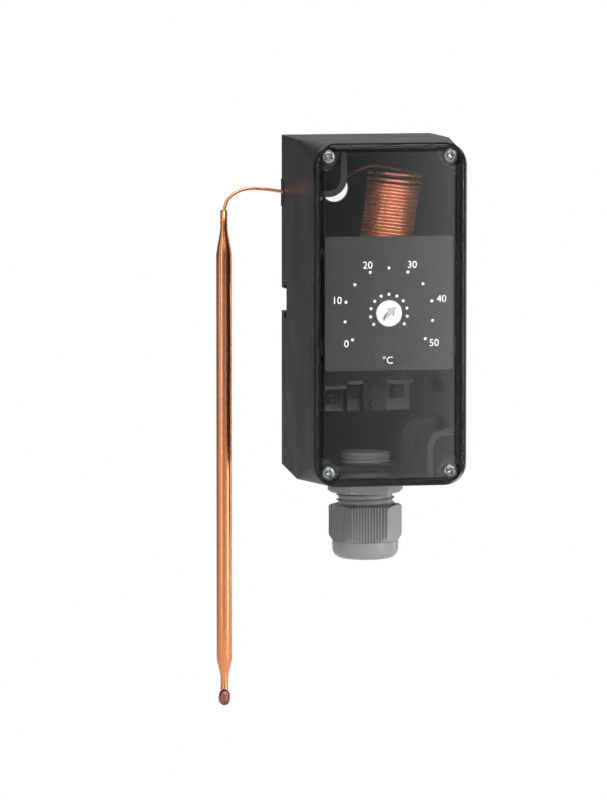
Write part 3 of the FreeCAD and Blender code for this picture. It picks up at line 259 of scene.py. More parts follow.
def streak_group():
    """Fine drawn lines along one axis, with broader bands of tarnish."""
    inputs = [
        ("Stretch", "vector", (1.0, 1.0, 0.02)),
        ("Scale", "float", 900.0),
        ("Band Scale", "float", 120.0),
    ]
    tree, entry, leave = new_group("drawn_streaks", inputs, [("Lines", "float"), ("Bands", "float")])
    where = put(tree, "ShaderNodeTexCoord").outputs["Object"]
    axes = {0: where, 1: entry.outputs["Stretch"]}
    stretched = put(tree, "ShaderNodeVectorMath", links=axes, operation="MULTIPLY").outputs[0]
    lines = put(tree, "ShaderNodeTexNoise", {"Detail": 3.0, "Roughness": 0.7}, {"Vector": stretched})
    tree.links.new(entry.outputs["Scale"], lines.inputs["Scale"])
    bands = put(tree, "ShaderNodeTexNoise", {"Detail": 5.0, "Roughness": 0.6}, {"Vector": stretched})
    tree.links.new(entry.outputs["Band Scale"], bands.inputs["Scale"])
    tree.links.new(lines.outputs["Fac"], leave.inputs["Lines"])
    tree.links.new(bands.outputs["Fac"], leave.inputs["Bands"])
    return tree


def scratch_group():
    """Sparse fine scratches in crossing directions."""
    inputs = [("Scale", "float", 60.0), ("Amount", "float", 1.0)]
    tree, entry, leave = new_group("fine_scratches", inputs, [("Mask", "float")])
    where = put(tree, "ShaderNodeTexCoord").outputs["Object"]
    masks = []
    for turn in SCRATCH_TURNS:
        laid = {"Rotation": (0.4, turn, 0.2), "Scale": (1.0, SCRATCH_STRETCH, 1.0)}
        turned = put(tree, "ShaderNodeMapping", laid, {"Vector": where})
        lines = put(tree, "ShaderNodeTexNoise", {"Detail": 1.0}, {"Vector": turned.outputs["Vector"]})
        tree.links.new(entry.outputs["Scale"], lines.inputs["Scale"])
        masks.append(span_node(tree, lines.outputs["Fac"], SCRATCH_START, SCRATCH_FULL, 0.0, 1.0))
    both = math_node(tree, "MAXIMUM", masks[0], masks[1])
    tree.links.new(math_node(tree, "MULTIPLY", both, entry.outputs["Amount"]), leave.inputs["Mask"])
    return tree


# The lid's gloss is polycarbonate's; it bends what lies behind it only a little
CLEAR_GLOSS_IOR = 1.58
CLEAR_BENDING = 1.03
WINDOW_HALF_WIDTH = 25.9 * MM
WINDOW_HALF_HEIGHT = 61.5 * MM
WINDOW_FADE = 0.3 * MM
WINDOW_TINT = rgb(0.93, 0.94, 0.95)
# Painted shade: the lid's border outside the window is tinted dark
RIM_PAINTED_SHADE = rgb(0.4, 0.405, 0.41)
LAMP_TINT = rgb(0.86, 0.87, 0.88)
RIM_GLOSS = 0.3

GRAIN = grain_group()
BLOTCH = blotch_group()
EDGE = edge_highlight_group()
STREAK = streak_group()
SCRATCH = scratch_group()


def use(tree, group, **values):
    """One of the shared groups in a material, with its own values."""
    node = tree.nodes.new("ShaderNodeGroup")
    node.node_tree = group
    for name, value in values.items():
        node.inputs[name.replace("_", " ")].default_value = value
    return node


def mix_color(tree, mask, first, second):
    """Two colours, or colour sockets, mixed by a mask."""
    node = put(tree, "ShaderNodeMix", data_type="RGBA")
    tree.links.new(mask, node.inputs["Factor"])
    for index, value in ((6, first), (7, second)):
        if isinstance(value, tuple):
            node.inputs[index].default_value = value
        else:
            tree.links.new(value, node.inputs[index])
    return node.outputs[2]


def mix_surface(tree, mask, first, second):
    """Two shaders mixed by a mask as the material's surface."""
    links = {0: mask, 1: first.outputs[0], 2: second.outputs[0]}
    mixed = put(tree, "ShaderNodeMixShader", links=links)
    tree.links.new(mixed.outputs[0], tree.nodes["Material Output"].inputs["Surface"])


def start_material(name, **values):
    """A material with its Principled shader, and its tree."""
    material = bpy.data.materials.new(name)
    material.use_nodes = True
    tree = material.node_tree
    shader = tree.nodes["Principled BSDF"]
    for key, value in values.items():
        shader.inputs[key.replace("_", " ")].default_value = value
    return material, tree, shader


def add_bump(tree, shader, height, strength, distance, normal=None):
    """A bump from a height, on top of another normal if one is given."""
    links = {"Height": height}
    if normal is not None:
        links["Normal"] = normal
    bump = put(tree, "ShaderNodeBump", {"Strength": strength, "Distance": distance}, links)
    tree.links.new(bump.outputs["Normal"], shader.inputs["Normal"])


def moulded(name, color, wear_and_highlight, roughness, size=1.0, depth=0.6, edge=0.0004, bump=0.1, gloss=0.5):
    """Moulded plastic: fine grain, soft blotches in the gloss, and paler edges as a painted highlight."""
    material, tree, shader = start_material(name, Specular_IOR_Level=gloss)
    grain = use(tree, GRAIN, Size=size, Depth=depth)
    blotch = use(tree, BLOTCH, Scale=GLOSS_BLOTCH_SCALE, Low=-GLOSS_BLOTCH, High=GLOSS_BLOTCH)
    # Painted highlight: edges get the paler colour
    edge_highlight = use(tree, EDGE, Radius=edge, Amount=EDGE_HIGHLIGHT_AMOUNT)
    paler = rgb(*(part * SPECKLE_GAIN for part in color[:3]))
    speckled = mix_color(tree, grain.outputs["Speckle"], color, paler)
    tree.links.new(mix_color(tree, edge_highlight.outputs["Mask"], speckled, wear_and_highlight), shader.inputs["Base Color"])
    tree.links.new(math_node(tree, "ADD", blotch.outputs["Mask"], roughness), shader.inputs["Roughness"])
    add_bump(tree, shader, grain.outputs["Height"], bump, 0.0001, edge_highlight.outputs["Normal"])
    return material


def drawn_metal(
    name, color, dark, roughness, stretch, scale=900.0, band_scale=120.0, bump=0.08, metallic=1.0,
):
    """Metal with lines along the way it was drawn or brushed, and bands of tarnish."""
    material, tree, shader = start_material(name, Metallic=metallic)
    streak = use(tree, STREAK, Stretch=stretch, Scale=scale, Band_Scale=band_scale)
    band = span_node(tree, streak.outputs["Bands"], 0.35, 0.65, 0.0, 1.0)
    tree.links.new(mix_color(tree, band, color, dark), shader.inputs["Base Color"])
    line = span_node(tree, streak.outputs["Lines"], 0.3, 0.7, roughness - 0.06, roughness + 0.08)
    tree.links.new(line, shader.inputs["Roughness"])
    add_bump(tree, shader, streak.outputs["Lines"], bump, 0.00005)
    return material


def clear_material():
    """Clear polycarbonate that lets the lamps through to what it covers, with painted shade on its border
    outside the window, where its coat is weaker too.
    """
    material, tree, shader = start_material(
        "clear_polycarbonate", Transmission_Weight=1.0, IOR=CLEAR_BENDING, Roughness=0.0,
        Coat_IOR=CLEAR_GLOSS_IOR, Coat_Roughness=0.03,
    )
    where = put(tree, "ShaderNodeSeparateXYZ", links={0: put(tree, "ShaderNodeTexCoord").outputs["Object"]})
    past = []
    for axis, half in (("X", WINDOW_HALF_WIDTH), ("Z", WINDOW_HALF_HEIGHT)):
        away = math_node(tree, "ABSOLUTE", where.outputs[axis], 0.0)
        past.append(math_node(tree, "SUBTRACT", away, half))
    # Painted shade: a mask for the lid's border outside the window, which darkens its colour and weakens
    # its coat
    rim_shade_mask = span_node(tree, math_node(tree, "MAXIMUM", *past), 0.0, WINDOW_FADE, 0.0, 1.0)
    tree.links.new(mix_color(tree, rim_shade_mask, WINDOW_TINT, RIM_PAINTED_SHADE), shader.inputs["Base Color"])
    scratch = use(tree, SCRATCH, Scale=45.0, Amount=0.4)
    unworn = math_node(tree, "SUBTRACT", 1.0, scratch.outputs["Mask"])
    outside = math_node(tree, "SUBTRACT", 1.0, put(tree, "ShaderNodeNewGeometry").outputs["Backfacing"])
    glossy = math_node(tree, "MULTIPLY", unworn, outside)
    calm = span_node(tree, rim_shade_mask, 0.0, 1.0, 1.0, RIM_GLOSS)
    tree.links.new(math_node(tree, "MULTIPLY", glossy, calm), shader.inputs["Coat Weight"])
    see_through = put(tree, "ShaderNodeBsdfTransparent", {"Color": LAMP_TINT})
    lamp_ray = put(tree, "ShaderNodeLightPath").outputs["Is Shadow Ray"]
    mix_surface(tree, lamp_ray, shader, see_through)
    return material


def plate_material():
    """Satin grey lacquer on the scale plate, with fine scratches."""
    material, tree, shader = start_material("satin_plate", Metallic=0.9)
    blotch = use(tree, BLOTCH, Scale=30.0, Low=0.0, High=1.0)
    scratch = use(tree, SCRATCH, Scale=80.0, Amount=0.35)
    grain = use(tree, GRAIN, Size=1.4, Depth=0.5)
    base = mix_color(tree, blotch.outputs["Mask"], rgb(0.085, 0.085, 0.086), rgb(0.094, 0.094, 0.095))
    wear_and_highlight = mix_color(tree, scratch.outputs["Mask"], base, grey(0.14))
    tree.links.new(wear_and_highlight, shader.inputs["Base Color"])
    gloss = span_node(tree, grain.outputs["Speckle"], 0.3, 0.7, 0.24, 0.28)
    tree.links.new(gloss, shader.inputs["Roughness"])
    add_bump(tree, shader, grain.outputs["Height"], 0.02, 0.00005)
    return material


# How the lines of a metal run: short values stretch them along that axis
UPRIGHT = (1.0, 1.0, 0.02)
BRUSHED = (1.0, 1.0, 0.05)
TURNED = (1.0, 0.05, 1.0)
EVEN = (1.0, 1.0, 1.0)

# Each moulded colour is followed by the paler colour of its painted edge highlight
HOUSING = moulded(
    "black_housing", rgb(0.013, 0.0129, 0.0129), grey(0.035), 0.42, depth=0.5, bump=0.06, gloss=0.3,
)
SWITCH = moulded(
    "switch_block", grey(0.006), grey(0.012), 0.5, depth=0.5, edge=0.0002, bump=0.04, gloss=0.25,
)
# Painted shade: the tinned brass terminal plates are coloured dark grey, and not as metal
SHADED_TERMINAL = moulded("terminal_painted_shade", rgb(0.05, 0.05, 0.049), rgb(0.09, 0.09, 0.088), 0.45)
GLAND = moulded(
    "gland_polyamide", rgb(0.26, 0.266, 0.272), rgb(0.34, 0.345, 0.35), 0.24,
    size=1.2, depth=0.4, edge=0.00004, bump=0.03,
)
DIAL = moulded("dial_white", rgb(0.71, 0.68, 0.65), rgb(0.73, 0.71, 0.69), 0.4, depth=0.3, edge=0.0002)
INK = moulded("printed_white", rgb(0.78, 0.78, 0.77), rgb(0.78, 0.78, 0.77), 0.5, depth=0.2, edge=0.00002)
# Painted shade: the arrow's recess floor is coloured darker than the disc
ARROW_SHADE = moulded(
    "arrow_recess_shade", rgb(0.43, 0.385, 0.355), rgb(0.43, 0.385, 0.355), 0.5, depth=0.2, edge=0.00002,
)
RUBBER = moulded("seal_rubber", grey(0.012), grey(0.02), 0.7, size=1.5, depth=0.8, edge=0.0002)
PLUNGER = moulded("plunger_red", rgb(0.3, 0.03, 0.02), rgb(0.4, 0.06, 0.04), 0.4)
BLACK_STEEL = moulded(
    "blackened_steel", rgb(0.006, 0.006, 0.0063), grey(0.012), 0.5,
    depth=0.4, edge=0.0002, bump=0.04, gloss=0.25,
)
COPPER = drawn_metal("drawn_copper", rgb(0.86, 0.36, 0.17), rgb(0.7, 0.24, 0.1), 0.24, UPRIGHT)
COIL_COPPER = drawn_metal(
    "coil_copper", rgb(1.0, 0.42, 0.23), rgb(0.95, 0.34, 0.17), 0.28, EVEN,
    scale=60.0, band_scale=40.0, bump=0.0, metallic=0.72,
)
WELD = drawn_metal(
    "weld_copper", rgb(0.42, 0.16, 0.14), rgb(0.25, 0.09, 0.09), 0.4, EVEN, band_scale=500.0,
)
ZINC = drawn_metal(
    "bright_zinc", rgb(0.72, 0.73, 0.74), rgb(0.6, 0.6, 0.62), 0.25, EVEN, scale=2500.0, band_scale=400.0,
)
# Painted shade: a darker copy of the bright zinc, for the lid screws
SHADED_SCREW_ZINC = drawn_metal(
    "screw_zinc_painted_shade", rgb(0.3, 0.315, 0.325), rgb(0.2, 0.215, 0.22), 0.2, EVEN, scale=2500.0, band_scale=400.0,
)
SHEET = drawn_metal(
    "zinc_sheet", rgb(0.55, 0.55, 0.54), grey(0.45), 0.35, BRUSHED, scale=600.0, band_scale=80.0,
)
BRASS = drawn_metal(
    "turned_brass", rgb(0.75, 0.55, 0.26), rgb(0.6, 0.42, 0.18), 0.27, TURNED,
    scale=1500.0, band_scale=200.0,
)
CLEAR = clear_material()
PLATE = plate_material()

NODE_MATERIALS = {
    HOUSING: ["housing_base"],
    RUBBER: ["lid_gasket", "capillary_grommet", "gland_insert"],
    PLATE: ["scale_plate"],
    DIAL: ["setting_disc", "capsule_button"],
    BRASS: ["setting_spindle", "spindle_bush", "spring_carriage", "diaphragm_capsule", "capsule_nut"],
    SHEET: ["mechanism_frame", "front_bridge", "actuating_lever"],
    SHADED_TERMINAL: ["terminal_plates"],
    ZINC: ["frame_screws", "lever_pin", "range_spring", "lid_screws"],
    SWITCH: ["switch_body", "switch_cover"],
    PLUNGER: ["switch_plunger"],
    BLACK_STEEL: ["switch_screws", "terminal_washers", "terminal_screws"],
    GLAND: ["gland_body", "gland_washer", "gland_nut"],
    CLEAR: ["clear_lid"],
    COPPER: ["sensor_bulb"],
    COIL_COPPER: ["capillary_tube"],
}


# Smooth shading of the CAD nodes

def smooth_by_angle(limit_degrees):
    """A geometry modifier that welds the facets and keeps only edges above a limit sharp."""
    tree = bpy.data.node_groups.new("smooth_by_angle", "GeometryNodeTree")
    for way in ("INPUT", "OUTPUT"):
        tree.interface.new_socket(name="Geometry", in_out=way, socket_type="NodeSocketGeometry")
    entry = tree.nodes.new("NodeGroupInput")
    leave = tree.nodes.new("NodeGroupOutput")
    shape = entry.outputs[0]
    for kind, values, settings in (
        ("GeometryNodeMergeByDistance", {"Distance": WELD_DISTANCE}, {}),
        ("GeometryNodeRemoveAttribute", {"Name": "custom_normal"}, {}),
        ("GeometryNodeSetShadeSmooth", {"Shade Smooth": True}, {"domain": "FACE"}),
    ):
        shape = put(tree, kind, values, {"Geometry": shape}, **settings).outputs[0]
    angle = tree.nodes.new("GeometryNodeInputMeshEdgeAngle").outputs["Unsigned Angle"]
    limit = {"B": math.radians(limit_degrees)}
    soft = put(tree, "FunctionNodeCompare", limit, {"A": angle}, operation="LESS_EQUAL")
    edges = put(tree, "GeometryNodeSetShadeSmooth", links={"Geometry": shape}, domain="EDGE")
    tree.links.new(soft.outputs[0], edges.inputs["Shade Smooth"])
    tree.links.new(edges.outputs[0], leave.inputs[0])
    return tree


SMOOTH = smooth_by_angle(SHARP_ABOVE)


def dress_nodes():
    """Each CAD node gets its material and smooth shading."""
    for material, names in NODE_MATERIALS.items():
        for name in names:
            node = frame["nodes"][name]
            node.data.materials.clear()
            node.data.materials.append(material)
            modifier = node.modifiers.new("smooth", "NODES")
            modifier.node_group = SMOOTH


def new_piece(name, mesh, material, body, smooth=True):
    """A finished mesh as a piece that rides on a body."""
    piece = link(bpy.data.objects.new(name, mesh))
    mesh.materials.append(material)
    if smooth:
        mesh.shade_smooth()
    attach(piece, body)
    return piece


# Sensor bulb

def lathe_mesh(name, profile, centre, segments, wobble=None):
    """A mesh turned about the upright axis through centre, from (radius, Z) pairs."""
    shape = bmesh.new()
    rings = []
    for radius, z in profile:
        if radius == 0:
            rings.append([shape.verts.new((centre.x, centre.y, z))])
            continue
        ring = []
        for step in range(segments):
            angle = 2 * math.pi * step / segments
            point = Vector((radius * math.cos(angle), radius * math.sin(angle), z))
            if wobble:
                point = wobble(point)
            ring.append(shape.verts.new((centre.x + point.x, centre.y + point.y, point.z)))
        rings.append(ring)
    for low, high in zip(rings, rings[1:]):
        for step in range(segments):
            after = (step + 1) % segments
            if len(low) == 1:
                shape.faces.new((low[0], high[step], high[after]))
            elif len(high) == 1:
                shape.faces.new((low[step], low[after], high[0]))
            else:
                shape.faces.new((low[step], low[after], high[after], high[step]))
    bmesh.ops.recalc_face_normals(shape, faces=shape.faces)
    return mesh_from(shape, name)


BULB_SEGMENTS = 64
BULB_BODY_STEPS = 12
BULB_SHOULDER_STEPS = 14
BULB_FOOT_STEPS = 12
WELD_SEGMENTS = 48
WELD_STEPS = 22
WELD_FULLNESS = 0.75
WELD_LUMPS = ((700.0, 0.12), (1800.0, 0.05))
BULB_NECK_RADIUS = 1.375 * MM
BULB_SHOULDER_Z = 29.9 * MM
BULB_FULL_TOP_Z = 18.8 * MM
BULB_FULL_BOTTOM_Z = -136.5 * MM
BULB_TAIL_RADIUS = 1.5 * MM
BULB_TAIL_TOP_Z = -144.2 * MM
BULB_WELD_TOP_Z = -148.9 * MM
BULB_WELD_RADIUS = 2.15 * MM


def eased(start, end, steps):
    """Points of a soft S from one (radius, Z) pair to another."""
    points = []
    for step in range(steps + 1):
        share = step / steps
        swell = share * share * (3 - 2 * share)
        blend = 0.5 * swell + 0.5 * share
        points.append((start[0] + (end[0] - start[0]) * blend, start[1] + (end[1] - start[1]) * share))
    return points


def lumpy(point):
    """A point of the weld bead, pushed out or in by two sizes of lump."""
    push = sum(noise.noise(point * scale) * depth for scale, depth in WELD_LUMPS)
    return Vector((point.x * (1 + push), point.y * (1 + push), point.z))


def bulb_piece():
    """The bulb's smooth shell, and the weld bead that closes its end."""
    low, high = box_of("sensor_bulb")
    centre = (low + high) / 2
    full = (high.x - low.x) / 2
    profile = [(0, high.z), (BULB_NECK_RADIUS * 0.8, high.z), (BULB_NECK_RADIUS, high.z - 0.3 * MM)]
    profile += eased((BULB_NECK_RADIUS, BULB_SHOULDER_Z), (full, BULB_FULL_TOP_Z), BULB_SHOULDER_STEPS)
    length = BULB_FULL_BOTTOM_Z - BULB_FULL_TOP_Z
    for step in range(1, BULB_BODY_STEPS):
        profile.append((full, BULB_FULL_TOP_Z + length * step / BULB_BODY_STEPS))
    profile += eased((full, BULB_FULL_BOTTOM_Z), (BULB_TAIL_RADIUS, BULB_TAIL_TOP_Z), BULB_FOOT_STEPS)
    profile += [(BULB_TAIL_RADIUS, BULB_WELD_TOP_Z + 1.2 * MM), (BULB_TAIL_RADIUS * 1.05, BULB_WELD_TOP_Z)]
    mesh = lathe_mesh("bulb_shell", profile, centre, BULB_SEGMENTS)
    piece = new_piece("bulb_shell", mesh, COPPER, "base")
    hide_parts("sensor_bulb")
    weld_low = low.z + 0.05 * MM
    middle = (BULB_WELD_TOP_Z + weld_low) / 2
    half = (BULB_WELD_TOP_Z - weld_low) / 2
    bead = []
    for step in range(WELD_STEPS + 1):
        angle = math.pi * step / WELD_STEPS
        radius = BULB_WELD_RADIUS * math.sin(angle) ** WELD_FULLNESS if 0 < step < WELD_STEPS else 0
        bead.append((radius, middle + half * math.cos(angle)))
    weld_mesh = lathe_mesh("weld_bead", bead, centre, WELD_SEGMENTS, lumpy)
    weld = new_piece("weld_bead", weld_mesh, WELD, "base")
    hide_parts("sensor_bulb")


# Capillary

COIL_LEAN = 8.3
COIL_PITCH = 1.3 * MM
COIL_CLOSE_TURNS = 17
COIL_LOOSE_HALF_TURNS = 5
COIL_LOOSE_GROWTH = 0.3 * MM
COIL_RADIUS = 9.58 * MM
COIL_SPREAD = 0.012
COIL_POINTS_PER_TURN = 28
COIL_BOTTOM = Vector((4.4, -33.0, 25.0)) * MM
CAPILLARY_RADIUS = 0.62 * MM
LEAD_DEPTH = 17.8 * MM
LEAD_BEND = 5.0 * MM
EXIT_RUN = 8.0 * MM
TUBE_ROUTE = [
    Vector((-7.5, -16.0, 50.0)) * MM,
    Vector((-12.0, -3.2, 39.8)) * MM,
    Vector((-24.0, -3.3, 42.1)) * MM,
    Vector((-36.0, -3.4, 44.4)) * MM,
    Vector((-45.2, -4.4, 44.9)) * MM,
    Vector((-51.4, -5.0, 41.4)) * MM,
    Vector((-53.0, -5.0, 37.2)) * MM,
    Vector((-53.0, -5.0, 34.0)) * MM,
]


def coil_rise(half_turn):
    """How much the tube rises in one half turn: close turns first, then ever looser ones."""
    loose = half_turn - 2 * COIL_CLOSE_TURNS + 1
    return (COIL_PITCH + COIL_LOOSE_GROWTH * max(0, loose)) / 2


def coil_points():
    """Points along the coil, from its left side at the bottom to its back at the top."""
    lean = math.radians(COIL_LEAN)
    axis = Vector((math.sin(lean), 0, math.cos(lean)))
    across = Vector((math.cos(lean), 0, -math.sin(lean)))
    back = Vector((0, 1, 0))
    half_turns = 2 * COIL_CLOSE_TURNS + COIL_LOOSE_HALF_TURNS
    per_half = COIL_POINTS_PER_TURN // 2
    points = []
    rise = 0.0
    for half_turn in range(half_turns + 1):
        steps = per_half if half_turn < half_turns else per_half // 2 + 1
        for step in range(steps):
            share = step / per_half
            angle = math.pi * (1 + half_turn + share)
            height = rise + coil_rise(half_turn) * share
            spread = 1 + COIL_SPREAD * max(0, half_turn + share - 2 * COIL_CLOSE_TURNS)
            radial = across * math.cos(angle) + back * math.sin(angle)
            points.append(COIL_BOTTOM + radial * COIL_RADIUS * spread + axis * height)
        rise += coil_rise(half_turn)
    return points


def capillary_piece():
    """The round tube from the capsule through the coil and out to the bulb."""
    coil = coil_points()
    start = coil[0]
    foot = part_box("capillary_tube")[0][2]
    lead = [
        Vector((start.x, -LEAD_DEPTH, foot)),
        Vector((start.x, -LEAD_DEPTH, start.z - LEAD_BEND)),
        Vector((start.x, -LEAD_DEPTH - 0.3 * LEAD_BEND, start.z - 0.3 * LEAD_BEND)),
        Vector((start.x, -LEAD_DEPTH - LEAD_BEND, start.z)),
    ]
    leaving = (coil[-1] - coil[-2]).normalized()
    points = lead + coil + [coil[-1] + leaving * EXIT_RUN] + TUBE_ROUTE
    curve = bpy.data.curves.new("capillary_line", "CURVE")
    curve.dimensions = "3D"
    curve.bevel_depth = CAPILLARY_RADIUS
    curve.bevel_resolution = 4
    curve.resolution_u = 3
    curve.use_fill_caps = True
    line = curve.splines.new("NURBS")
    line.points.add(len(points) - 1)
    for control, point in zip(line.points, points):
        control.co = (*point, 1.0)
    line.order_u = 3
    line.use_endpoint_u = True
    mesh = mesh_from_curve(curve, "capillary_line")
    piece = new_piece("capillary_wire", mesh, COIL_COPPER, "base")
    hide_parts("capillary_tube")


# Cable gland

GLAND_TURN = -5.1
GLAND_AXIS_Y = -17.0 * MM
GLAND_HEX_FLAT = 12.62 * MM
GLAND_HEX_CORNER = GLAND_HEX_FLAT / math.cos(math.radians(30))
GLAND_HEX_HEIGHT = 5.7 * MM
GLAND_HEX_EASE = 0.9 * MM
NECK_ROOT = 10.35 * MM
HEX_HOLE = NECK_ROOT * 0.9
NECK_CREST = 1.0 * MM
NECK_PITCH = 1.95 * MM
NECK_BORE = 7.0 * MM
NECK_TUCK = 4.0 * MM
INNER_ROOT = 9.4 * MM
INNER_CREST = 0.55 * MM
INNER_PITCH = 1.5 * MM
THREAD_STEPS = 96
THREAD_RISE = 0.14 * MM
GRIP_HEIGHT = 13.7 * MM
GRIP_TOP_EASE = 0.8 * MM
GRIP_CUT = 2.7 * MM
DOME_RADIUS = 12.7 * MM
DOME_ROUND = 3.8 * MM
DOME_TUCK = 0.25 * MM
MOUTH_RADIUS = 7.3 * MM
MOUTH_DEPTH = 4.0 * MM
COLLAR_RADIUS = 11.55 * MM
COLLAR_DEPTH = 9.0 * MM
RIBS_PER_FACE = 13
RIB_DEPTH = 0.75 * MM
RIB_SHAPE = [(0.0, 1.0), (0.4, 1.0), (0.5, 0.08), (0.58, 0.0), (0.84, 0.0), (0.92, 0.08)]
RIBBED_FACES = (True, False, True, True, False, True)
FLAT_FACE_STEPS = 12
EDGE_STEPS = 4
CUT_STEPS = 8
DOME_STEPS = 9
GRIP_SLOPE = 1.6
HEX_SLOPE = 1.5
MOUTH_EASE = 0.4 * MM
RIDGE_HALF = 0.22
RIDGE_FULLNESS = 0.7


def hexagon_outline(ribbed):
    """Points around a hexagon about the origin; a ribbed one has grooves on four of its faces."""
    points = []
    for face in range(6):
        facing = math.radians(GLAND_TURN - 90 + 60 * face)
        out = Vector((math.cos(facing), math.sin(facing), 0))
        along = Vector((-out.y, out.x, 0))
        if ribbed and RIBBED_FACES[face]:
            ribs = range(RIBS_PER_FACE)
            places = [((rib + share) / RIBS_PER_FACE, depth) for rib in ribs for share, depth in RIB_SHAPE]
        else:
            places = [(step / FLAT_FACE_STEPS, 0.0) for step in range(FLAT_FACE_STEPS)]
        for share, depth in places:
            reach = out * (GLAND_HEX_FLAT - RIB_DEPTH * depth)
            points.append(reach + along * GLAND_HEX_CORNER * (share - 0.5))
    return points


def ring_stack(rings):
    """A mesh skinned over rings of as many points each."""
    shape = bmesh.new()
    rows = [[shape.verts.new(point) for point in ring] for ring in rings]
    for low, high in zip(rows, rows[1:]):
        for step in range(len(low)):
            after = (step + 1) % len(low)
            shape.faces.new((low[step], low[after], high[after], high[step]))
    return shape


def within(points, limit, z):
    """A ring at one height, no point of it further out than a limit."""
    ring = []
    for point in points:
        reach = min(point.length, limit)
        ring.append(point.normalized() * reach + Vector((0, GLAND_AXIS_Y, z)))
    return ring


def on_circle(points, radius, z):
    """The same points moved onto a circle."""
    return [point.normalized() * radius + Vector((0, GLAND_AXIS_Y, z)) for point in points]


def finish_shell(shape, name, angle):
    """The mesh of a shell, with edges above an angle kept sharp."""
    bmesh.ops.recalc_face_normals(shape, faces=shape.faces)
    mesh = mesh_from(shape, name)
    mesh.shade_smooth()
    mesh.set_sharp_from_angle(angle=math.radians(angle))
    return mesh


def nut_piece():
    """The gland's nut: a ribbed grip with a cone-cut lower edge, and the dome below it."""
    bottom, top = (corner.z for corner in box_of("gland_nut"))
    seam = top - GRIP_HEIGHT
    outline = hexagon_outline(True)
    rings = [on_circle(outline, COLLAR_RADIUS, z) for z in (top - COLLAR_DEPTH, top)]
    for step in range(EDGE_STEPS + 1):
        drop = GRIP_TOP_EASE * step / EDGE_STEPS
        limit = GLAND_HEX_CORNER - GRIP_SLOPE * (GRIP_TOP_EASE - drop)
        rings.append(within(outline, limit, top - drop))
    rings.append(within(outline, GLAND_HEX_CORNER, (top + seam) / 2))
    for step in range(CUT_STEPS + 1):
        share = step / CUT_STEPS
        limit = GLAND_HEX_CORNER + (DOME_RADIUS - GLAND_HEX_CORNER) * share
        rings.append(within(outline, limit, seam + GRIP_CUT * (1 - share)))
    rings.append(on_circle(outline, MOUTH_RADIUS, seam))
    shape = ring_stack(rings)
    dome = [circle_ring(DOME_RADIUS - DOME_TUCK, seam), circle_ring(DOME_RADIUS, seam - DOME_TUCK)]
    for step in range(DOME_STEPS + 1):
        angle = math.radians(90 * step / DOME_STEPS)
        radius = DOME_RADIUS - DOME_ROUND * (1 - math.cos(angle))
        dome.append(circle_ring(radius, bottom + DOME_ROUND * (1 - math.sin(angle))))
    dome.append(circle_ring(MOUTH_RADIUS + MOUTH_EASE, bottom))
    dome.append(circle_ring(MOUTH_RADIUS, bottom + MOUTH_EASE))
    dome.append(circle_ring(MOUTH_RADIUS, bottom + MOUTH_DEPTH))
    join_shapes(shape, ring_stack(dome))
    mesh = finish_shell(shape, "ribbed_nut", 24.0)
    piece = new_piece("ribbed_nut", mesh, GLAND, "nut", smooth=False)
    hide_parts("gland_nut")


def thread_rings(root, crest, pitch, low, high):
    """Rings of a helical thread whose crest is a narrow ridge, from low to high."""
    count = int((high - low) / THREAD_RISE)
    rings = []
    for level in range(count + 1):
        z = low + (high - low) * level / count
        fade = min(1.0, (high - z) / (pitch / 2))
        ring = []
        for step in range(THREAD_STEPS):
            turn = 2 * math.pi * step / THREAD_STEPS
            phase = ((z - low) / pitch - step / THREAD_STEPS) % 1.0
            ridge = max(0.0, 1 - abs(phase - 0.5) / RIDGE_HALF)
            radius = root + crest * fade * ridge ** RIDGE_FULLNESS
            ring.append(about_gland(radius, turn, z))
        rings.append(ring)
    return rings


def about_gland(radius, turn, z):
    """A point about the gland's axis."""
    return Vector((radius * math.cos(turn), GLAND_AXIS_Y + radius * math.sin(turn), z))


def circle_ring(radius, z):
    """A ring about the gland's axis at one height."""
    return [about_gland(radius, 2 * math.pi * step / THREAD_STEPS, z) for step in range(THREAD_STEPS)]


def join_shapes(target, source):
    """Adds one shape's faces to another."""
    holder = bpy.data.meshes.new("holder")
    source.to_mesh(holder)
    source.free()
    target.from_mesh(holder)
    bpy.data.meshes.remove(holder)


def gland_piece():
    """The gland's body: threaded neck, hexagon, and the threaded end inside the housing."""
    inner_top = box_of("gland_body")[1].z
    hex_top = box_of("gland_washer")[0].z
    hex_bottom = hex_top - GLAND_HEX_HEIGHT
    neck_low = box_of("gland_nut")[1].z - NECK_TUCK
    neck = [circle_ring(NECK_BORE, neck_low)]
    neck += thread_rings(NECK_ROOT, NECK_CREST, NECK_PITCH, neck_low, hex_bottom)
    shape = ring_stack(neck)
    outline = hexagon_outline(False)
    rings = [on_circle(outline, HEX_HOLE, hex_bottom)]
    for step in range(EDGE_STEPS + 1):
        rise = GLAND_HEX_EASE * step / EDGE_STEPS
        limit = GLAND_HEX_CORNER - HEX_SLOPE * (GLAND_HEX_EASE - rise)
        rings.append(within(outline, limit, hex_bottom + rise))
    rings.append(within(outline, GLAND_HEX_CORNER, hex_top))
    rings.append(on_circle(outline, HEX_HOLE, hex_top))
    join_shapes(shape, ring_stack(rings))
    inner = thread_rings(INNER_ROOT, INNER_CREST, INNER_PITCH, hex_top, inner_top - MOUTH_EASE)
    inner += [circle_ring(INNER_ROOT - MOUTH_EASE, inner_top), circle_ring(NECK_BORE, inner_top)]
    inner.append(circle_ring(NECK_BORE, hex_bottom))
    join_shapes(shape, ring_stack(inner))
    mesh = finish_shell(shape, "threaded_gland", 32.0)
    piece = new_piece("threaded_gland", mesh, GLAND, "base", smooth=False)
    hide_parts("gland_body")


# Lid screws

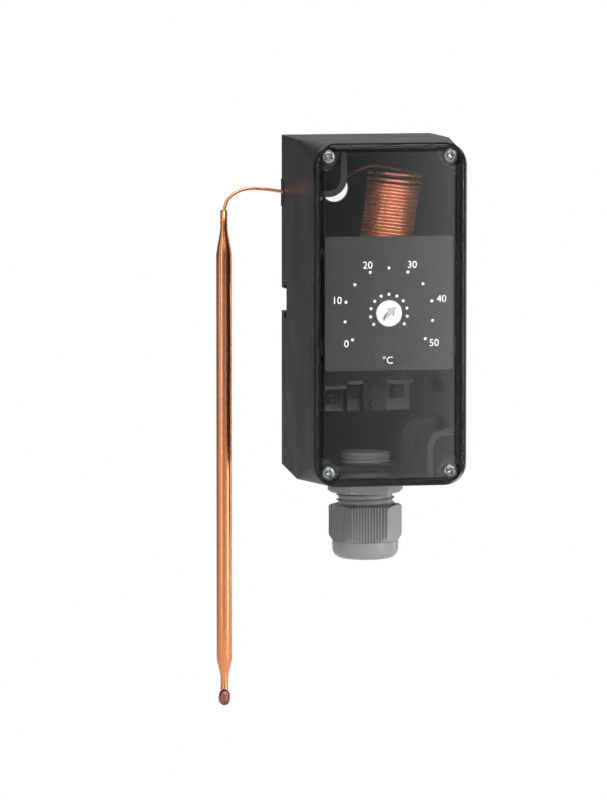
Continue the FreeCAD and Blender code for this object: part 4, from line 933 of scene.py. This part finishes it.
SCREW_HEAD_RADIUS = 2.5 * MM
SCREW_HEAD_HEIGHT = 1.4 * MM
SCREW_HEAD_FALL = 0.65 * MM
SCREW_ARM = 1.55 * MM
SCREW_ARM_HALF_WIDTH = 0.36 * MM
SCREW_RECESS = 1.1 * MM
SCREW_SHANK = 1.7 * MM
SCREW_TIP = 1.2 * MM
MARK_DEPTH = 0.16 * MM
SCREW_STEPS = 96
SCREW_RINGS = 26
SCREW_TURNS = (12.0, -24.0, 33.0, 4.0)


def soft_step(value, start, end):
    """From 0 at start to 1 at end, with soft ends."""
    share = min(1.0, max(0.0, (value - start) / (end - start)))
    return share * share * (3 - 2 * share)


def head_height(radius, angle):
    """How far a head's face stands out, with a cross recess and small marks between its arms."""
    crown = SCREW_HEAD_HEIGHT - SCREW_HEAD_FALL * (radius / SCREW_HEAD_RADIUS) ** 3
    across = abs(math.sin(angle)) * radius
    along = abs(math.cos(angle)) * radius
    side = min(across, along)
    reach = max(across, along)
    arm = soft_step(side, SCREW_ARM_HALF_WIDTH * 1.25, SCREW_ARM_HALF_WIDTH * 0.8)
    arm *= soft_step(reach, SCREW_ARM, SCREW_ARM * 0.88)
    pit = arm * SCREW_RECESS * (1 - 0.45 * reach / SCREW_ARM)
    star = soft_step(abs(across - along), 0.2 * MM, 0.1 * MM)
    star *= soft_step(radius, 1.9 * MM, 1.7 * MM) * soft_step(radius, 0.7 * MM, 0.9 * MM)
    return crown - max(pit, MARK_DEPTH * star)


def screws_piece():
    """Four screws from the tip of the shank to the middle of the head, each turned its own way."""
    low, high = box_of("lid_screws")
    seat = low.y + SCREW_HEAD_HEIGHT
    shape = bmesh.new()
    places = [(x, z) for x in (low.x, high.x) for z in (low.z, high.z)]
    for (x, z), turn_degrees in zip(places, SCREW_TURNS):
        middle_x = x + math.copysign(SCREW_HEAD_RADIUS, -x)
        middle_z = z + math.copysign(SCREW_HEAD_RADIUS, -z)
        turn = math.radians(turn_degrees)
        outer = [
            (SCREW_SHANK * 0.6, high.y), (SCREW_SHANK, high.y - SCREW_TIP),
            (SCREW_SHANK, seat), (SCREW_HEAD_RADIUS, seat),
        ]
        rows = [[(radius, depth)] * SCREW_STEPS for radius, depth in outer]
        for ring in range(SCREW_RINGS, 0, -1):
            radius = SCREW_HEAD_RADIUS * ring / SCREW_RINGS
            angles = [2 * math.pi * step / SCREW_STEPS for step in range(SCREW_STEPS)]
            rows.append([(radius, seat - head_height(radius, angle)) for angle in angles])
        vertices = []
        for row in rows:
            line = []
            for step, (radius, depth) in enumerate(row):
                angle = 2 * math.pi * step / SCREW_STEPS + turn
                across = middle_x + radius * math.cos(angle)
                line.append(shape.verts.new((across, depth, middle_z + radius * math.sin(angle))))
            vertices.append(line)
        for before, after in zip(vertices, vertices[1:]):
            for step in range(SCREW_STEPS):
                following = (step + 1) % SCREW_STEPS
                shape.faces.new((before[step], before[following], after[following], after[step]))
        shape.faces.new(vertices[0])
        tip = shape.verts.new((middle_x, seat - head_height(0.0, 0.0), middle_z))
        for step in range(SCREW_STEPS):
            shape.faces.new((vertices[-1][step], vertices[-1][(step + 1) % SCREW_STEPS], tip))
    mesh = finish_shell(shape, "cross_head_screws", 40.0)
    piece = new_piece("cross_head_screws", mesh, SHADED_SCREW_ZINC, "lid", smooth=False)
    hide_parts("lid_screws")


# Dial print, and the arrow's floor with painted shade

DIAL_CENTRE = Vector((0.0, 0.0, 0.4)) * MM
DIAL_STEPS = 11
DIAL_SWEEP = 250.0
OUTER_DOT_CIRCLE = 17.16 * MM
INNER_DOT_CIRCLE = 7.18 * MM
DOT_RADIUS = 0.55 * MM
DOT_SEGMENTS = 20
NUMERAL_HEIGHT = 2.8 * MM
SIZE_PER_HEIGHT = 1.37
PRINT_THICKNESS = 0.03 * MM
ARROW_ANGLE = 47.0
ARROW_LENGTH = 7.0 * MM
ARROW_HEAD_LENGTH = 3.2 * MM
ARROW_HEAD_WIDTH = 4.4 * MM
ARROW_SHAFT_WIDTH = 1.6 * MM
ARROW_RECESS = 0.5 * MM
NUMERALS = [
    ("0", -16.4, -10.9),
    ("10", -19.7, 5.6),
    ("20", -8.2, 18.75),
    ("30", 9.0, 18.75),
    ("40", 20.3, 5.7),
    ("50", 17.5, -11.0),
    ("°C", -0.4, -17.3),
]


def dot_mesh():
    """Both rings of dots, as thin discs on the scale plate."""
    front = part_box("scale_plate")[0][1]
    shape = bmesh.new()
    for circle in (OUTER_DOT_CIRCLE, INNER_DOT_CIRCLE):
        for step in range(DIAL_STEPS):
            turn = math.radians(DIAL_SWEEP * (step / (DIAL_STEPS - 1) - 0.5))
            place = Matrix.Translation((
                circle * math.sin(turn),
                front - PRINT_THICKNESS / 2,
                DIAL_CENTRE.z + circle * math.cos(turn),
            ))
            matrix = place @ Matrix.Rotation(math.pi / 2, 4, "X")
            bmesh.ops.create_cone(
                shape, cap_ends=True, segments=DOT_SEGMENTS, radius1=DOT_RADIUS, radius2=DOT_RADIUS,
                depth=PRINT_THICKNESS, matrix=matrix,
            )
    return mesh_from(shape, "dial_dots")


def text_mesh(name, text, height, x, z, front):
    """One printed word as a thin mesh, centred on x and z."""
    curve = bpy.data.curves.new(name, "FONT")
    curve.body = text
    curve.size = height * SIZE_PER_HEIGHT
    curve.extrude = PRINT_THICKNESS / 2
    curve.align_x = "CENTER"
    curve.align_y = "CENTER"
    curve.resolution_u = 5
    mesh = mesh_from_curve(curve, name)
    xs = [v.co.x for v in mesh.vertices]
    ys = [v.co.y for v in mesh.vertices]
    middle = Vector(((min(xs) + max(xs)) / 2, (min(ys) + max(ys)) / 2, 0))
    stand = Matrix.Rotation(math.pi / 2, 4, "X")
    place = Matrix.Translation((x, front - PRINT_THICKNESS / 2, z))
    mesh.transform(place @ stand @ Matrix.Translation(-middle))
    return mesh


def arrow_fill():
    """The arrow's floor, sunk into the disc, coloured darker than the disc as painted shade in the recess.
    """
    base = box_of("setting_disc")[0].y + ARROW_RECESS - PRINT_THICKNESS
    tip = ARROW_LENGTH / 2
    neck = tip - ARROW_HEAD_LENGTH
    shaft = ARROW_SHAFT_WIDTH / 2
    right = [(0, tip), (ARROW_HEAD_WIDTH / 2, neck), (shaft, neck), (shaft, -tip)]
    outline = right + [(-x, z) for x, z in reversed(right[1:])]
    turn = math.radians(ARROW_ANGLE)
    shape = bmesh.new()
    corners = []
    for x, z in outline:
        across = x * math.cos(turn) + z * math.sin(turn)
        up = z * math.cos(turn) - x * math.sin(turn)
        corners.append(shape.verts.new((across, base, DIAL_CENTRE.z + up)))
    face = shape.faces.new(corners)
    bmesh.ops.triangulate(shape, faces=[face])
    mesh = mesh_from(shape, "arrow_floor")
    new_piece("arrow_floor", mesh, ARROW_SHADE, "dial", smooth=False)


def dial_print():
    """The dots, the numbers and the unit on the scale plate."""
    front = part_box("scale_plate")[0][1]
    new_piece("dial_dots", dot_mesh(), INK, "base", smooth=False)
    for index, (text, x, z) in enumerate(NUMERALS):
        mesh = text_mesh(f"dial_mark_{index}", text, NUMERAL_HEIGHT, x * MM, z * MM, front)
        new_piece(f"dial_mark_{index}", mesh, INK, "base", smooth=False)


# Studio

def seen_directly(tree, path):
    """One where the camera sees a surface itself or through the clear lid, without a bounce between."""
    bounces = math_node(tree, "ADD", path.outputs["Diffuse Depth"], path.outputs["Glossy Depth"])
    direct = math_node(tree, "SUBTRACT", 1.0, bounces, True)
    through = math_node(tree, "MULTIPLY", path.outputs["Is Transmission Ray"], direct)
    return math_node(tree, "MAXIMUM", path.outputs["Is Camera Ray"], through)


def white_surface():
    """Pale floor that keeps the shadow below the object and shows as plain white further out."""
    material, tree, shader = start_material("pale_floor", Roughness=0.9)
    shader.inputs["Base Color"].default_value = grey(0.85)
    glow = put(tree, "ShaderNodeEmission", {"Color": WHITE, "Strength": 1.0})
    seen = seen_directly(tree, put(tree, "ShaderNodeLightPath"))
    where = put(tree, "ShaderNodeTexCoord").outputs["Object"]
    reach = put(tree, "ShaderNodeVectorMath", links={0: where}, operation="LENGTH").outputs["Value"]
    outside = span_node(tree, reach, SHADOW_REACH / 3, SHADOW_REACH, FLOOR_LIFT, 1.0)
    share = math_node(tree, "MULTIPLY", seen, outside)
    mix_surface(tree, share, shader, glow)
    return material


def floor():
    """A wide floor below the object, which is no part of it."""
    low = cad_bounds[0][2] - FLOOR_DROP
    mesh = bpy.data.meshes.new("floor")
    half = FLOOR_SIZE / 2
    corners = [(x * half, y * half, low) for x, y in ((-1, -1), (1, -1), (1, 1), (-1, 1))]
    mesh.from_pydata(corners, [], [(0, 1, 2, 3)])
    mesh.materials.append(white_surface())
    ground = link(bpy.data.objects.new("floor", mesh))


def world():
    """A studio that shows as white, and is dim in the object's reflections on the camera's side."""
    surround = bpy.data.worlds.new("studio")
    surround.use_nodes = True
    tree = surround.node_tree
    background = tree.nodes["Background"]
    path = put(tree, "ShaderNodeLightPath")
    direction = put(tree, "ShaderNodeTexCoord").outputs["Generated"]
    split = put(tree, "ShaderNodeSeparateXYZ", links={0: direction})
    behind = span_node(tree, split.outputs["Y"], GLOSS_TURN_START, GLOSS_TURN_END, GLOSS_FRONT, GLOSS_BACK)
    above = span_node(tree, split.outputs["Z"], -GLOSS_RISE, GLOSS_RISE, GLOSS_LOW, 1.0)
    upper = span_node(tree, split.outputs["Z"], SKY_START, SKY_END, 0.0, GLOSS_SKY)
    before = span_node(tree, split.outputs["Y"], -SKY_END, 0.0, 1.0, 0.0)
    sky = math_node(tree, "MULTIPLY", upper, before)
    glossy = math_node(tree, "ADD", math_node(tree, "MULTIPLY", behind, above), sky)
    reflected = math_node(tree, "MINIMUM", path.outputs["Glossy Depth"], 1.0)
    room = put(tree, "ShaderNodeMix", {2: AMBIENT}, {0: reflected, 3: glossy}, data_type="FLOAT")
    shown = {0: seen_directly(tree, path), 2: room.outputs[0]}
    strength = put(tree, "ShaderNodeMix", {3: 1.0}, shown, data_type="FLOAT")
    background.inputs["Color"].default_value = WHITE
    tree.links.new(strength.outputs[0], background.inputs["Strength"])
    bpy.context.scene.world = surround


def softbox(name, place, aim, width, height, power):
    """A rectangular lamp at a place, turned towards a point; returns the lamp itself."""
    lamp = bpy.data.lights.new(name, "AREA")
    lamp.shape = "RECTANGLE"
    lamp.size = width
    lamp.size_y = height
    lamp.energy = power
    holder = link(bpy.data.objects.new(name, lamp))
    holder.location = place
    holder.rotation_euler = (Vector(aim) - Vector(place)).to_track_quat("-Z", "Y").to_euler()
    return lamp


def sheen_card():
    """A dim card in front at the right whose reflection brightens the lid towards the right."""
    lamp = softbox("sheen_card", CARD_PLACE, CARD_AIM, CARD_WIDTH, CARD_HEIGHT, CARD_POWER)
    lamp.use_nodes = True
    tree = lamp.node_tree
    spot = put(tree, "ShaderNodeNewGeometry").outputs["Parametric"]
    along = put(tree, "ShaderNodeSeparateXYZ", links={0: spot})
    soft = math_node(tree, "POWER", along.outputs["X"], CARD_FALLOFF)
    tree.links.new(soft, tree.nodes["Emission"].inputs["Strength"])


# Name, place, width, height and power in watts
LAMPS = [
    ("left_strip", (-1.0, -0.93, 0.1), 0.09, 1.5, 3.2),
    ("back_box", (0.3, 1.3, 0.55), 1.2, 0.4, 1.2),
    ("left_fill", (-1.3, -0.3, 0.1), 0.8, 1.4, 2.5),
    ("right_key", (1.0, -1.0, 0.3), 0.34, 1.4, 13.0),
    ("bulb_rim", (1.15, 0.42, 0.0), 0.22, 1.3, 3.0),
    ("top_box", (0.0, -0.35, 1.3), 0.9, 0.7, 10.0),
    ("front_fill", (0.0, -1.75, 1.1), 1.5, 0.5, 12.0),
]


def lights():
    for name, place, width, height, power in LAMPS:
        softbox(name, place, LAMP_AIM, width, height, power)


def camera():
    """The camera, at the photograph's angle and distance."""
    azimuth = math.radians(CAMERA_AZIMUTH)
    elevation = math.radians(CAMERA_ELEVATION)
    back = Vector((
        math.sin(azimuth) * math.cos(elevation),
        -math.cos(azimuth) * math.cos(elevation),
        math.sin(elevation),
    ))
    lens = bpy.data.cameras.new("camera")
    lens.lens = CAMERA_LENS
    lens.sensor_width = SENSOR_LONG_SIDE
    lens.sensor_fit = "AUTO"
    lens.clip_end = CAMERA_REACH
    viewer = link(bpy.data.objects.new("camera", lens))
    viewer.location = CAMERA_AIM + back * CAMERA_DISTANCE
    viewer.rotation_euler = (-back).to_track_quat("-Z", "Y").to_euler()
    bpy.context.scene.camera = viewer


dress_nodes()
bulb_piece()
capillary_piece()
gland_piece()
nut_piece()
screws_piece()
dial_print()
arrow_fill()
floor()
world()
lights()
sheen_card()
camera()
bpy.context.scene.view_settings.view_transform = "Standard"
